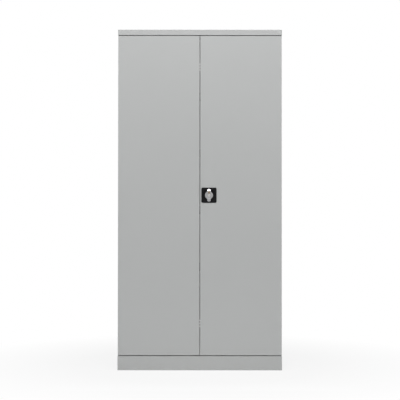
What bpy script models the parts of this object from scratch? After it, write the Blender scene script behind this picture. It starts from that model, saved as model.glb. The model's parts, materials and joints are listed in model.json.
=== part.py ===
"""Two-door steel cabinet for charging batteries, with its rod lock, shelves and socket strips.

Metres, +Z up, front towards -Y. The origin is on the floor, under the middle of the cabinet.
"""

import math

import bmesh
import bpy
from mathutils import Matrix, Vector

# Carcass
CABINET_WIDTH = 0.940
CABINET_DEPTH = 0.500
CABINET_HEIGHT = 1.950
SHEET = 0.001
SEAT_GAP = 0.0003
BEND_RADIUS = 0.002
CAP_HEIGHT = 0.031
CAP_FLANGE_RELIEF = 0.012
PLINTH_HEIGHT = 0.081
PLINTH_SHEET = 0.0015
PLINTH_FLANGE = 0.035
POST_WIDTH = 0.012
POST_RETURN = 0.022
REAR_FLANGE = 0.020
FLOOR_HEIGHT = 0.025
RAIL_HEIGHT = 0.040
RAIL_FLANGE = 0.020
CORNER_CLEARANCE = 0.0003

# Doors
DOOR_SETBACK = 0.001
DOOR_THICKNESS = 0.020
DOOR_EDGE_GAP = 0.004
DOOR_CENTRE_GAP = 0.003
DOOR_LIP = 0.025
STIFFENER_FROM_CENTRE = 0.250
STIFFENER_WIDTH = 0.060
STIFFENER_FOOT = 0.014
STIFFENER_END_GAP = 0.030
STOP_PAD_WIDTH = 0.060
STOP_PAD_HEIGHT = 0.016

# Hinges
HINGE_INSET = 0.005
SWEEP_CLEARANCE = 0.0014
KNUCKLE_RADIUS = 0.0035
KNUCKLE_HEIGHT = 0.020
KNUCKLE_CLEARANCE = 0.001
HINGE_PIN_RADIUS = 0.002
HINGE_PIN_CLEARANCE = 0.0003
HINGE_PIN_SHORT = 0.002
HINGE_ARM = 0.003
HINGE_FOOT = 0.002
HINGE_FOOT_HEIGHT = 0.040
LEAF_PLATE = 0.0015
LEAF_END_GAP = 0.001
NOTCH_END_GAP = 0.0015
HINGE_END_DISTANCE = 0.150

# Vents and cable inlet in the back
VENT_LENGTH = 0.060
VENT_HEIGHT = 0.006
VENT_PITCH_ACROSS = 0.085
VENT_PITCH_UP = 0.018
VENT_COLUMNS = 4
VENT_ROWS = 3
VENT_CENTRE_X = 0.060
VENT_END_DISTANCE = 0.110
GROMMET_HOLE_RADIUS = 0.015
GROMMET_BORE_RADIUS = 0.007
GROMMET_LIP = 0.003
GROMMET_NOSE = 0.004
GROMMET_HEIGHT = 0.050

# Shelves and the uprights that carry them
SHELF_COUNT = 4
SHELF_STEP = 0.350
SHELF_HEIGHT = 0.025
SHELF_FRONT = 0.050
SHELF_LENGTH = 0.400
SHELF_SIDE_GAP = 0.0015
UPRIGHT_WIDTH = 0.030
UPRIGHT_DEPTH = 0.010
UPRIGHT_SET_IN = 0.030
UPRIGHT_TOP_GAP = 0.070
SLOT_LENGTH = 0.015
SLOT_HEIGHT = 0.004
SLOT_PITCH = 0.0875
SLOT_START = 0.0525
CLIP_WIDTH = 0.020
CLIP_HEIGHT = 0.024
CLIP_SHEET = 0.0008
CLIP_TAB = 0.003
CLIP_REACH = 0.008

# Lock dish and handle
LOCK_X = 0.052
LOCK_HEIGHT = 1.000
DISH_SIDE = 0.087
DISH_CORNER = 0.0085
DISH_PLATE = 0.002
DISH_EDGE = 0.0007
BOWL_RADIUS = 0.039
BOWL_WALL = 0.0015
BOWL_FILLET = 0.003
BOWL_HOLE_CLEARANCE = 0.0005
RETAINER_SIDE = 0.094
RETAINER_SHEET = 0.0015
HUB_RADIUS = 0.023
HUB_THICKNESS = 0.0072
HUB_EDGE = 0.0015
HUB_BOWL_GAP = 0.0013
GRIP_LENGTH = 0.073
GRIP_WIDTH = 0.021
GRIP_THICKNESS = 0.0125
GRIP_EDGE = 0.0028
POCKET_RADIUS = 0.014
POCKET_SLOPE = 0.005
POCKET_SINK = 0.0006
SPINDLE_RADIUS = 0.008
SPINDLE_CLEARANCE = 0.0003
PLUG_RADIUS = 0.0085
PLUG_PROUD = 0.0014
PLUG_FLOOR = 0.0015
KEY_SLOT_LENGTH = 0.009
KEY_SLOT_WIDTH = 0.0014
KEY_SLOT_DEPTH = 0.004

# Cam and rods
ROD_WIDTH = 0.012
ROD_THICKNESS = 0.0025
ROD_LIP_GAP = 0.0011
ROD_FROM_CENTRE = 0.012
ROD_TIP_INSET = 0.0015
ROD_TIP_CHAMFER = 0.002
ROD_CAM_GAP = 0.0004
CAM_THICKNESS = 0.0025
CAM_BOWL_GAP = 0.0015
CAM_WIDTH = 0.012
CAM_PIN_RADIUS = 0.003
CAM_PIN_OFFSET = 0.010
CAM_PIN_PROUD = 0.0004
FORK_PIN_PLAY = 0.0006
FORK_INNER = 0.0056
FORK_WALL = 0.003
FORK_TINE = 0.004
STRIKE_CLEARANCE = 0.0025
ROD_SLOT_CLEARANCE = 0.0005
GUIDE_CLEARANCE = 0.0005
GUIDE_FOOT = 0.008
GUIDE_HEIGHT = 0.015

# Duct, socket strips and breaker box on the back
DUCT_WIDTH = 0.050
DUCT_DEPTH = 0.042
DUCT_WALL = 0.0015
DUCT_FROM_SIDE = 0.048
STRIP_LENGTH = 0.500
STRIP_HEIGHT = 0.050
STRIP_DEPTH = 0.042
STRIP_EDGE = 0.003
STRIP_ABOVE_SHELF = 0.110
SOCKET_COUNT = 4
SOCKET_FIRST = 0.130
SOCKET_PITCH = 0.100
SOCKET_RADIUS = 0.019
SOCKET_DEPTH = 0.015
PIN_HOLE_RADIUS = 0.0025
PIN_HOLE_SPACING = 0.019
PIN_HOLE_DEPTH = 0.014
ROCKER_PLACE = 0.050
ROCKER_LENGTH = 0.026
ROCKER_HEIGHT = 0.012
ROCKER_NOSE = 0.005
ROCKER_DISH = 0.0016
ROCKER_HEEL = 0.002
ROCKER_PIVOT_DEPTH = 0.0045
ROCKER_CLEARANCE = 0.0004
ROCKER_END_CLEARANCE = 0.001
ROCKER_ANGLE = math.radians(7)
BOX_WIDTH = 0.100
BOX_HEIGHT = 0.140
BOX_DEPTH = 0.075
BOX_WALL = 0.0015
WINDOW_HEIGHT = 0.048
WINDOW_MARGIN = 0.001
RCD_WIDTH = 0.036
MCB_WIDTH = 0.018
MODULE_HEIGHT = 0.085
MODULE_BODY = 0.044
MODULE_NOSE = 0.070
NOSE_HEIGHT = 0.045
MODULE_GAP = 0.0003
LEVER_RADIUS = 0.004
LEVER_REACH = 0.014
LEVER_TIP = 0.002
LEVER_WIDTH = 0.010
LEVER_SINK = 0.004
LEVER_CLEARANCE = 0.0006
LEVER_REST_ANGLE = math.radians(30)
TEST_BUTTON_RADIUS = 0.0035
TEST_BUTTON_LENGTH = 0.008
TEST_BUTTON_PROUD = 0.003
TEST_BUTTON_SIDE = 0.011
TEST_BUTTON_TRAVEL = 0.0015
FLAP_WIDTH = 0.072
FLAP_HEIGHT = 0.064
FLAP_DEPTH = 0.0145
FLAP_WALL = 0.0015
FLAP_BARREL_RADIUS = 0.0025
FLAP_BARREL_LAP = 0.001
FLAP_PIN_RADIUS = 0.001
FLAP_PIN_CLEARANCE = 0.0003
FLAP_EAR = 0.003

# Modelling
OVERRUN = 0.005
WELD = 0.00001
ALIGNED = 0.99
ROUND_SIDES = 16
WIDE_ROUND_SIDES = 36
SMALL_ROUND_SIDES = 6
ARC_STEPS = 4
SMOOTH_ANGLE = math.radians(35)

# Directions that faces look along, and pairs of them that meet in a rounded edge
FRONT, REAR, DOWN, UP, LEFT, RIGHT = (0, -1, 0), (0, 1, 0), (0, 0, -1), (0, 0, 1), (-1, 0, 0), (1, 0, 0)
UPRIGHT_EDGES = [(FRONT, LEFT), (FRONT, RIGHT), (REAR, LEFT), (REAR, RIGHT)]
TOP_EDGES = [(UP, FRONT), (UP, REAR), (UP, LEFT), (UP, RIGHT)]
DOOR_EDGES = [(FRONT, LEFT), (FRONT, RIGHT), (FRONT, UP), (FRONT, DOWN)]
DOOR_CORNERS = [(UP, LEFT), (UP, RIGHT), (DOWN, LEFT), (DOWN, RIGHT)]

# Places that several pieces share, as distances behind the front of the cabinet
SIDE_OUTER_X = CABINET_WIDTH / 2 - SHEET - SEAT_GAP
SIDE_INNER_X = SIDE_OUTER_X - SHEET
POST_INNER_X = SIDE_OUTER_X - POST_WIDTH
DOOR_BACK = DOOR_SETBACK + DOOR_THICKNESS
HINGE_X = SIDE_OUTER_X - HINGE_INSET
HINGE_DEPTH = DOOR_BACK - HINGE_INSET
FRAME_DEPTH = DOOR_BACK + HINGE_INSET * (math.sqrt(2) - 1) + SWEEP_CLEARANCE
BACK_OUTER = CABINET_DEPTH - SHEET - SEAT_GAP
BACK_INNER = BACK_OUTER - SHEET
BACK_FACE = BACK_INNER - SEAT_GAP
BODY_BOTTOM = PLINTH_HEIGHT + SEAT_GAP
BODY_TOP = CABINET_HEIGHT - BEND_RADIUS - SEAT_GAP
BACK_HALF_WIDTH = SIDE_OUTER_X - BEND_RADIUS
FLOOR_TOP = BODY_BOTTOM + FLOOR_HEIGHT
DOOR_BOTTOM = PLINTH_HEIGHT + DOOR_EDGE_GAP
DOOR_TOP = CABINET_HEIGHT - CAP_HEIGHT - DOOR_EDGE_GAP
UPRIGHT_FACE_X = SIDE_INNER_X - SEAT_GAP - UPRIGHT_DEPTH
DUCT_LEFT = -SIDE_INNER_X + DUCT_FROM_SIDE
DUCT_RIGHT = DUCT_LEFT + DUCT_WIDTH
SHELF_TOPS = [FLOOR_TOP + SHELF_STEP * (step + 1) for step in range(SHELF_COUNT)]
HINGE_HEIGHTS = {
    "low": DOOR_BOTTOM + HINGE_END_DISTANCE,
    "mid": (DOOR_BOTTOM + DOOR_TOP) / 2,
    "high": DOOR_TOP - HINGE_END_DISTANCE,
}

# The lock is stacked up from the door's inner lips towards its front
ROD_BACK = DOOR_BACK - SHEET - ROD_LIP_GAP
ROD_FRONT = ROD_BACK - ROD_THICKNESS
CAM_BACK = ROD_FRONT - ROD_CAM_GAP
CAM_FRONT = CAM_BACK - CAM_THICKNESS
BOWL_BACK = CAM_FRONT - CAM_BOWL_GAP
BOWL_FLOOR = BOWL_BACK - BOWL_WALL
HUB_BACK = BOWL_FLOOR - HUB_BOWL_GAP
HUB_FRONT = HUB_BACK - HUB_THICKNESS
GRIP_FRONT = HUB_BACK - GRIP_THICKNESS
POCKET_FLOOR = HUB_FRONT + POCKET_SINK
DISH_BACK = DOOR_SETBACK - SEAT_GAP
DISH_FRONT = DISH_BACK - DISH_PLATE


def behind(distance):
    """Y of a plane that lies this far behind the front of the cabinet."""
    return distance - CABINET_DEPTH / 2


def material(name, colour, roughness, metallic=0.0):
    finish = bpy.data.materials.new(name)
    finish.use_nodes = True
    shader = finish.node_tree.nodes["Principled BSDF"]
    shader.inputs["Base Color"].default_value = (*colour, 1)
    shader.inputs["Roughness"].default_value = roughness
    shader.inputs["Metallic"].default_value = metallic
    finish.diffuse_color = (*colour, 1)
    return finish


def add_object(name, data, collection):
    obj = bpy.data.objects.new(name, data)
    collection.objects.link(obj)
    return obj


def piece(name, mesh, finish):
    """A part of the cabinet, in its own finish."""
    obj = add_object(name, mesh, PARTS)
    mesh.materials.clear()
    mesh.materials.append(finish)
    return obj


def helper(name, mesh):
    """A shape that only cuts or joins another, and is never seen."""
    obj = add_object(name, mesh, CUTTERS)
    obj.hide_render = True
    obj.display_type = "WIRE"
    return obj


def combine(target, tool, operation):
    modifier = target.modifiers.new(tool.name, "BOOLEAN")
    modifier.operation = operation
    modifier.object = tool


def cut(target, tool):
    combine(target, tool, "DIFFERENCE")


def join(target, tool):
    combine(target, tool, "UNION")


def mesh_from(bm, name):
    mesh = bpy.data.meshes.new(name)
    bmesh.ops.recalc_face_normals(bm, faces=bm.faces)
    bm.to_mesh(mesh)
    bm.free()
    return mesh


def add_box(bm, low, high):
    """A cube stretched between two corners."""
    low, high = Vector(low), Vector(high)
    corners = bmesh.ops.create_cube(bm, size=1)["verts"]
    bmesh.ops.scale(bm, vec=high - low, verts=corners)
    bmesh.ops.translate(bm, vec=(low + high) / 2, verts=corners)
    return corners


def boxes_mesh(name, boxes):
    """Separate boxes in one mesh, each given by its low and high corner."""
    bm = bmesh.new()
    for low, high in boxes:
        add_box(bm, low, high)
    return mesh_from(bm, name)


def rod_mesh(name, radius, start, end, sides=ROUND_SIDES):
    """A round bar between two points."""
    start, end = Vector(start), Vector(end)
    along = end - start
    turn = Vector((0, 0, 1)).rotation_difference(along).to_matrix().to_4x4()
    bm = bmesh.new()
    bmesh.ops.create_cone(
        bm,
        cap_ends=True,
        segments=sides,
        radius1=radius,
        radius2=radius,
        depth=along.length,
        matrix=Matrix.Translation((start + end) / 2) @ turn,
    )
    mesh = mesh_from(bm, name)
    smooth(mesh)
    return mesh


def smooth(mesh):
    mesh.shade_smooth()
    mesh.set_sharp_from_angle(angle=SMOOTH_ANGLE)


def stand(obj, x, y, z, turn=0.0):
    """Puts an object's XY plane upright, facing the front, and turns it in that plane."""
    upright = Matrix.Rotation(math.radians(90), 4, "X")
    obj.matrix_world = Matrix.Translation((x, y, z)) @ upright @ Matrix.Rotation(turn, 4, "Z")


def side_on(obj, x, y, z):
    """Turns an object so that its X runs to the back, its Y runs up and its Z runs to the right."""
    turned = Matrix(((0, 0, 1, x), (1, 0, 0, y), (0, 1, 0, z), (0, 0, 0, 1)))
    obj.matrix_world = turned


def solidify(obj, sheet):
    """Gives a sheet surface its thickness, on the side away from its normals."""
    modifier = obj.modifiers.new("sheet", "SOLIDIFY")
    modifier.thickness = sheet
    modifier.offset = -1
    modifier.use_even_offset = True
    modifier.use_quality_normals = True


def strip_mesh(name, outline, start, end, along):
    """A folded strip: an open outline drawn out along X or Z, its normals to the right of its travel."""
    bm = bmesh.new()
    ends = []
    for place in (start, end):
        if along == "X":
            ends.append([bm.verts.new((place, a, b)) for a, b in outline])
        else:
            ends.append([bm.verts.new((a, b, place)) for a, b in outline])
    low, high = ends
    for step in range(len(outline) - 1):
        bm.faces.new((low[step], low[step + 1], high[step + 1], high[step]))
    mesh = bpy.data.meshes.new(name)
    bm.to_mesh(mesh)
    bm.free()
    return mesh


def folded(name, outline, start, end, along, sheet, finish):
    obj = piece(name, strip_mesh(name, outline, start, end, along), finish)
    solidify(obj, sheet)
    return obj


def mirrored(outline):
    """The same outline on the other side of the middle, with its normals still outwards."""
    return [(-x, y) for x, y in reversed(outline)]


def arc(centre, radius, start, end, steps=ARC_STEPS):
    """Points on an arc, with its angles in degrees."""
    points = []
    for step in range(steps + 1):
        angle = math.radians(start + (end - start) * step / steps)
        points.append((centre[0] + radius * math.cos(angle), centre[1] + radius * math.sin(angle)))
    return points


def rounded_rectangle(width, height, radius, steps=ARC_STEPS):
    """A rectangle about the middle with round corners, which meet in a stadium's round ends."""
    across, up = width / 2 - radius, height / 2 - radius
    corners = [((across, up), 0), ((-across, up), 90), ((-across, -up), 180), ((across, -up), 270)]
    points = []
    for centre, start in corners:
        for point in arc(centre, radius, start, start + 90, steps):
            if not points or math.dist(point, points[-1]) > WELD:
                points.append(point)
    if math.dist(points[0], points[-1]) < WELD:
        points.pop()
    return points


def flat_mesh(name, loops, thickness):
    """A flat outline with any holes, filled and made thick about its own plane."""
    curve = bpy.data.curves.new(name, "CURVE")
    curve.dimensions = "2D"
    curve.fill_mode = "BOTH"
    curve.extrude = thickness / 2
    for loop in loops:
        spline = curve.splines.new("POLY")
        spline.points.add(len(loop) - 1)
        for point, (x, y) in zip(spline.points, loop):
            point.co = (x, y, 0, 1)
        spline.use_cyclic_u = True
    outline = add_object(name, curve, CUTTERS)
    filled = outline.evaluated_get(bpy.context.evaluated_depsgraph_get())
    mesh = bpy.data.meshes.new_from_object(filled)
    bpy.data.objects.remove(outline)
    bpy.data.curves.remove(curve)
    bm = bmesh.new()
    bm.from_mesh(mesh)
    bmesh.ops.remove_doubles(bm, verts=bm.verts, dist=WELD)
    bmesh.ops.recalc_face_normals(bm, faces=bm.faces)
    bm.to_mesh(mesh)
    bm.free()
    return mesh


def turn_profile(obj, sides):
    modifier = obj.modifiers.new("turned", "SCREW")
    modifier.axis = "Z"
    modifier.steps = sides
    modifier.render_steps = sides
    modifier.use_merge_vertices = True
    modifier.merge_threshold = WELD
    modifier.use_smooth_shade = False


def profile_mesh(name, profile, closed=False):
    """A turned shape's profile: (radius, distance behind the front) pairs, from the front to the back."""
    bm = bmesh.new()
    points = [bm.verts.new((radius, 0, -distance)) for radius, distance in profile]
    for first, second in zip(points, points[1:]):
        bm.edges.new((first, second))
    if closed:
        bm.edges.new((points[-1], points[0]))
    mesh = bpy.data.meshes.new(name)
    bm.to_mesh(mesh)
    bm.free()
    return mesh


def pivot(name, x, y, z, parent=None):
    """An empty on a joint's axis, which carries the pieces that move on it."""
    empty = add_object(name, None, PARTS)
    empty.location = (x, y, z)
    bpy.context.view_layer.update()
    if parent:
        carry(parent, [empty])
    return empty


def carry(parent, children):
    """Parents pieces without moving them."""
    bpy.context.view_layer.update()
    for child in children:
        child.parent = parent
        child.matrix_parent_inverse = parent.matrix_world.inverted()


def round_edges(bm, edges, radius):
    bmesh.ops.bevel(
        bm,
        geom=edges,
        offset=radius,
        offset_type="OFFSET",
        segments=2,
        profile=0.5,
        affect="EDGES",
        clamp_overlap=True,
    )


def face_towards(bm, direction):
    """The largest face that looks along this direction."""
    facing = [face for face in bm.faces if face.normal.dot(Vector(direction)) > ALIGNED]
    return max(facing, key=lambda face: face.calc_area())


def open_face(bm, direction, lip=0.0):
    """Takes out a box's face, leaving a lip of this width round the opening."""
    face = face_towards(bm, direction)
    if lip:
        rim = list(face.verts)
        low = [min(vert.co[axis] for vert in rim) for axis in range(3)]
        high = [max(vert.co[axis] for vert in rim) for axis in range(3)]
        inner = []
        for vert in rim:
            point = []
            for axis in range(3):
                span = high[axis] - low[axis]
                middle = (high[axis] + low[axis]) / 2
                share = (span - 2 * lip) / span if span > WELD else 1
                point.append(middle + (vert.co[axis] - middle) * share)
            inner.append(bm.verts.new(point))
        count = len(rim)
        normal = face.normal.copy()
        for step in range(count):
            after = (step + 1) % count
            quad = bm.faces.new((rim[step], rim[after], inner[after], inner[step]))
            quad.normal_update()
            if quad.normal.dot(normal) < 0:
                quad.normal_flip()
    bm.faces.remove(face)


def box_shell(name, low, high, openings, rounded=(), lips=None):
    """A box of sheet: its rounded edges run along or round the directions given, its openings are cut."""
    bm = bmesh.new()
    add_box(bm, low, high)
    bm.normal_update()
    edges = [edge for edge in bm.edges if edge_is_rounded(edge, rounded)]
    if edges:
        round_edges(bm, edges, BEND_RADIUS)
        bm.normal_update()
    for direction in openings:
        open_face(bm, direction, (lips or {}).get(direction, 0.0))
    mesh = bpy.data.meshes.new(name)
    bm.to_mesh(mesh)
    bm.free()
    return mesh


def edge_is_rounded(edge, rounded):
    """True where both faces of an edge look along directions that are to be rounded together."""
    normals = [face.normal for face in edge.link_faces]
    for first, second in rounded:
        for one, other in (normals, normals[::-1]):
            if one.dot(Vector(first)) > ALIGNED and other.dot(Vector(second)) > ALIGNED:
                return True
    return False


def rod_x(side):
    """X of the rod that goes up (-1) or down (1)."""
    return LOCK_X + side * ROD_FROM_CENTRE


def strike_box(side, low, high):
    """The hole in a flange that a rod's tip enters, between two heights."""
    half = ROD_WIDTH / 2 + STRIKE_CLEARANCE
    front, back = ROD_FRONT - STRIKE_CLEARANCE, ROD_BACK + STRIKE_CLEARANCE
    return (rod_x(side) - half, behind(front), low), (rod_x(side) + half, behind(back), high)


def make_plinth(steel):
    """A ring with a flange turned inwards round its top and its foot."""
    half = CABINET_WIDTH / 2
    mesh = box_shell(
        "base_plinth",
        (-half, behind(0), 0),
        (half, behind(CABINET_DEPTH), PLINTH_HEIGHT),
        openings=(UP, DOWN),
        rounded=UPRIGHT_EDGES,
        lips={UP: PLINTH_FLANGE, DOWN: PLINTH_FLANGE},
    )
    plinth = piece("base_plinth", mesh, steel)
    solidify(plinth, PLINTH_SHEET)
    hole = strike_box(1, PLINTH_HEIGHT - PLINTH_SHEET - OVERRUN, PLINTH_HEIGHT + OVERRUN)
    cut(plinth, helper("plinth_strike", boxes_mesh("plinth_strike", [hole])))


def make_cap(steel):
    """A pan turned upside down, with a flange folded back under its fascia."""
    half = CABINET_WIDTH / 2
    bottom = CABINET_HEIGHT - CAP_HEIGHT
    bm = bmesh.new()
    add_box(bm, (-half, behind(0), bottom), (half, behind(CABINET_DEPTH), CABINET_HEIGHT))
    bm.normal_update()
    edges = [edge for edge in bm.edges if edge_is_rounded(edge, TOP_EDGES + UPRIGHT_EDGES)]
    round_edges(bm, edges, BEND_RADIUS)
    bm.normal_update()
    open_face(bm, DOWN)
    edge = max(
        (edge for edge in bm.edges if all(fits(vert, behind(0), bottom) for vert in edge.verts)),
        key=lambda edge: edge.calc_length(),
    )
    for side in (-1, 1):
        edge = split_at(edge, side * (half - CAP_FLANGE_RELIEF))
    folded_edge = bmesh.ops.extrude_edge_only(bm, edges=[edge])["geom"]
    moved = [item for item in folded_edge if isinstance(item, bmesh.types.BMVert)]
    bmesh.ops.translate(bm, vec=(0, FRAME_DEPTH - SEAT_GAP, 0), verts=moved)
    for face in {face for vert in moved for face in vert.link_faces}:
        face.normal_update()
        if face.normal.z > 0:
            face.normal_flip()
    mesh = bpy.data.meshes.new("top_cap")
    bm.to_mesh(mesh)
    bm.free()
    cap = piece("top_cap", mesh, steel)
    solidify(cap, SHEET)
    hole = strike_box(-1, bottom - OVERRUN, bottom + SHEET + OVERRUN)
    cut(cap, helper("cap_strike", boxes_mesh("cap_strike", [hole])))


def fits(vert, y, z):
    return abs(vert.co.y - y) < WELD and abs(vert.co.z - z) < WELD


def split_at(edge, x):
    """Splits an edge along X and returns its part nearer the middle."""
    first, second = edge.verts
    share = (x - first.co.x) / (second.co.x - first.co.x)
    new_vert = bmesh.utils.edge_split(edge, first, share)[1]
    return min(new_vert.link_edges, key=lambda part: abs(sum(vert.co.x for vert in part.verts)))


def side_outline():
    """Plan of the right side: its hollow front post, its web and its flange behind."""
    return [
        (POST_INNER_X, behind(FRAME_DEPTH + POST_RETURN)),
        (POST_INNER_X, behind(FRAME_DEPTH)),
        (SIDE_OUTER_X, behind(FRAME_DEPTH)),
        (SIDE_OUTER_X, behind(BACK_FACE)),
        (SIDE_OUTER_X - REAR_FLANGE, behind(BACK_FACE)),
    ]


def make_sides(steel):
    outline = side_outline()
    folded("side_panel_right", outline, BODY_BOTTOM, BODY_TOP, "Z", SHEET, steel)
    folded("side_panel_left", mirrored(outline), BODY_BOTTOM, BODY_TOP, "Z", SHEET, steel)


def vent_boxes(centre_z):
    """Slots in rows, cut right through the back."""
    boxes = []
    for row in range(VENT_ROWS):
        z = centre_z + (row - (VENT_ROWS - 1) / 2) * VENT_PITCH_UP
        for column in range(VENT_COLUMNS):
            x = VENT_CENTRE_X + (column - (VENT_COLUMNS - 1) / 2) * VENT_PITCH_ACROSS
            low = (x - VENT_LENGTH / 2, behind(BACK_INNER - OVERRUN), z - VENT_HEIGHT / 2)
            high = (x + VENT_LENGTH / 2, behind(BACK_OUTER + OVERRUN), z + VENT_HEIGHT / 2)
            boxes.append((low, high))
    return boxes


def grommet_place():
    return (DUCT_LEFT + DUCT_RIGHT) / 2, FLOOR_TOP + GROMMET_HEIGHT


def make_back(steel):
    low = (-BACK_HALF_WIDTH, behind(BACK_INNER), BODY_BOTTOM)
    high = (BACK_HALF_WIDTH, behind(BACK_OUTER), BODY_TOP)
    back = piece("back_panel", boxes_mesh("back_panel", [(low, high)]), steel)
    slots = vent_boxes(FLOOR_TOP + VENT_END_DISTANCE) + vent_boxes(DOOR_TOP - VENT_END_DISTANCE)
    cut(back, helper("back_vents", boxes_mesh("back_vents", slots)))
    x, z = grommet_place()
    start = (x, behind(BACK_INNER - OVERRUN), z)
    end = (x, behind(BACK_OUTER + OVERRUN), z)
    cut(back, helper("cable_hole", rod_mesh("cable_hole", GROMMET_HOLE_RADIUS, start, end)))


def make_grommet(rubber):
    """A rubber ring that grips the edge of the cable hole, turned about the cable's line."""
    x, z = grommet_place()
    lip = GROMMET_HOLE_RADIUS + GROMMET_LIP
    groove = GROMMET_HOLE_RADIUS - SEAT_GAP
    inner_face, outer_face = BACK_INNER - SEAT_GAP, BACK_OUTER + SEAT_GAP
    profile = [
        (GROMMET_BORE_RADIUS, inner_face - GROMMET_NOSE),
        (groove, inner_face - GROMMET_NOSE),
        (lip, inner_face - GROMMET_LIP),
        (lip, inner_face),
        (groove, inner_face),
        (groove, outer_face),
        (lip, outer_face),
        (lip, CABINET_DEPTH),
        (GROMMET_BORE_RADIUS, CABINET_DEPTH),
    ]
    grommet = piece("cable_grommet", profile_mesh("cable_grommet", profile, closed=True), rubber)
    turn_profile(grommet, ROUND_SIDES)
    stand(grommet, x, behind(0), z)


def pan(name, outline, low, high, sheet, finish):
    """A pan turned upside down: a flat outline at the top with a wall down from each side of it."""
    bm = bmesh.new()
    top = [bm.verts.new((x, y, high)) for x, y in outline]
    foot = [bm.verts.new((x, y, low)) for x, y in outline]
    bm.faces.new(top)
    for step in range(len(outline)):
        after = (step + 1) % len(outline)
        bm.faces.new((top[after], top[step], foot[step], foot[after]))
    mesh = bpy.data.meshes.new(name)
    bm.to_mesh(mesh)
    bm.free()
    obj = piece(name, mesh, finish)
    solidify(obj, sheet)
    return obj


def make_floor(steel):
    """The floor stands on the plinth's flange and is cut back round the front posts."""
    narrow = POST_INNER_X - CORNER_CLEARANCE
    wide = SIDE_INNER_X - CORNER_CLEARANCE
    front = behind(FRAME_DEPTH)
    step = behind(FRAME_DEPTH + POST_RETURN + CORNER_CLEARANCE)
    rear = behind(BACK_FACE - SHEET - SEAT_GAP)
    right = [(narrow, front), (narrow, step), (wide, step), (wide, rear)]
    outline = [(-x, y) for x, y in right[::-1]] + right
    pan("floor_panel", outline, BODY_BOTTOM, FLOOR_TOP, SHEET, steel)


def make_front_rail(steel, rubber):
    """A channel across the top between the posts, with a pad that both doors close against."""
    half = POST_INNER_X - CORNER_CLEARANCE
    low = DOOR_TOP - RAIL_HEIGHT
    high = DOOR_TOP
    front, rear = behind(FRAME_DEPTH), behind(FRAME_DEPTH + RAIL_FLANGE)
    outline = [(rear, low), (front, low), (front, high), (rear, high)]
    folded("front_rail_top", outline[::-1], -half, half, "X", SHEET, steel)
    middle = DOOR_TOP - DOOR_LIP / 2
    pad_low = (-STOP_PAD_WIDTH / 2, behind(DOOR_BACK + SEAT_GAP), middle - STOP_PAD_HEIGHT / 2)
    pad_high = (STOP_PAD_WIDTH / 2, behind(FRAME_DEPTH - SEAT_GAP), middle + STOP_PAD_HEIGHT / 2)
    piece("door_stop_pad", boxes_mesh("door_stop_pad", [(pad_low, pad_high)]), rubber)


def make_shelves(steel):
    half = UPRIGHT_FACE_X - SHELF_SIDE_GAP
    front, rear = behind(SHELF_FRONT), behind(SHELF_FRONT + SHELF_LENGTH)
    outline = [(-half, rear), (-half, front), (half, front), (half, rear)]
    for number, top in enumerate(SHELF_TOPS, 1):
        pan(f"shelf_{number}", outline, top - SHELF_HEIGHT, top, SHEET, steel)


def make_uprights(zinc):
    """Four slotted channels on the sides, each with a clip under every shelf."""
    rear_start = SHELF_FRONT + SHELF_LENGTH - UPRIGHT_SET_IN + SHEET - UPRIGHT_WIDTH
    for row, start in (("front", SHELF_FRONT + UPRIGHT_SET_IN), ("rear", rear_start)):
        for side, word in ((-1, "left"), (1, "right")):
            make_upright(f"upright_{row}_{word}", side, start, zinc)


def make_upright(name, side, start, zinc):
    front, rear = behind(start), behind(start + UPRIGHT_WIDTH)
    back = SIDE_INNER_X - SEAT_GAP
    outline = [(back, rear), (UPRIGHT_FACE_X, rear), (UPRIGHT_FACE_X, front), (back, front)]
    if side < 0:
        outline = mirrored(outline)
    foot, top = FLOOR_TOP + SEAT_GAP, DOOR_TOP - UPRIGHT_TOP_GAP
    upright = folded(name, outline, foot, top, "Z", SHEET, zinc)
    middle = (front + rear) / 2
    slots = []
    for step in range(int((top - foot - SLOT_START) / SLOT_PITCH) + 1):
        z = foot + SLOT_START + step * SLOT_PITCH
        slots.append(beside(side, UPRIGHT_FACE_X - OVERRUN, UPRIGHT_FACE_X + SHEET + OVERRUN / 2,
                            middle - SLOT_LENGTH / 2, middle + SLOT_LENGTH / 2,
                            z - SLOT_HEIGHT / 2, z + SLOT_HEIGHT / 2))
    cut(upright, helper(name + "_slots", boxes_mesh(name + "_slots", slots)))
    for number, shelf_top in enumerate(SHELF_TOPS, 1):
        high = shelf_top - SHELF_HEIGHT - SEAT_GAP
        plate = beside(side, UPRIGHT_FACE_X - CLIP_SHEET, UPRIGHT_FACE_X + SHEET / 2,
                       middle - CLIP_WIDTH / 2, middle + CLIP_WIDTH / 2, high - CLIP_HEIGHT, high)
        tab = beside(side, UPRIGHT_FACE_X - CLIP_REACH, UPRIGHT_FACE_X + SHEET / 2,
                     middle - CLIP_WIDTH / 2, middle + CLIP_WIDTH / 2, high - CLIP_TAB, high)
        for word, box in (("plate", plate), ("tab", tab)):
            label = f"{name}_clip_{number}_{word}"
            join(upright, helper(label, boxes_mesh(label, [box])))


def beside(side, inner, outer, front, rear, low, high):
    """A box beside the right wall, or its mirror image beside the left one."""
    xs = sorted((side * inner, side * outer))
    return (xs[0], front, low), (xs[1], rear, high)


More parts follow.
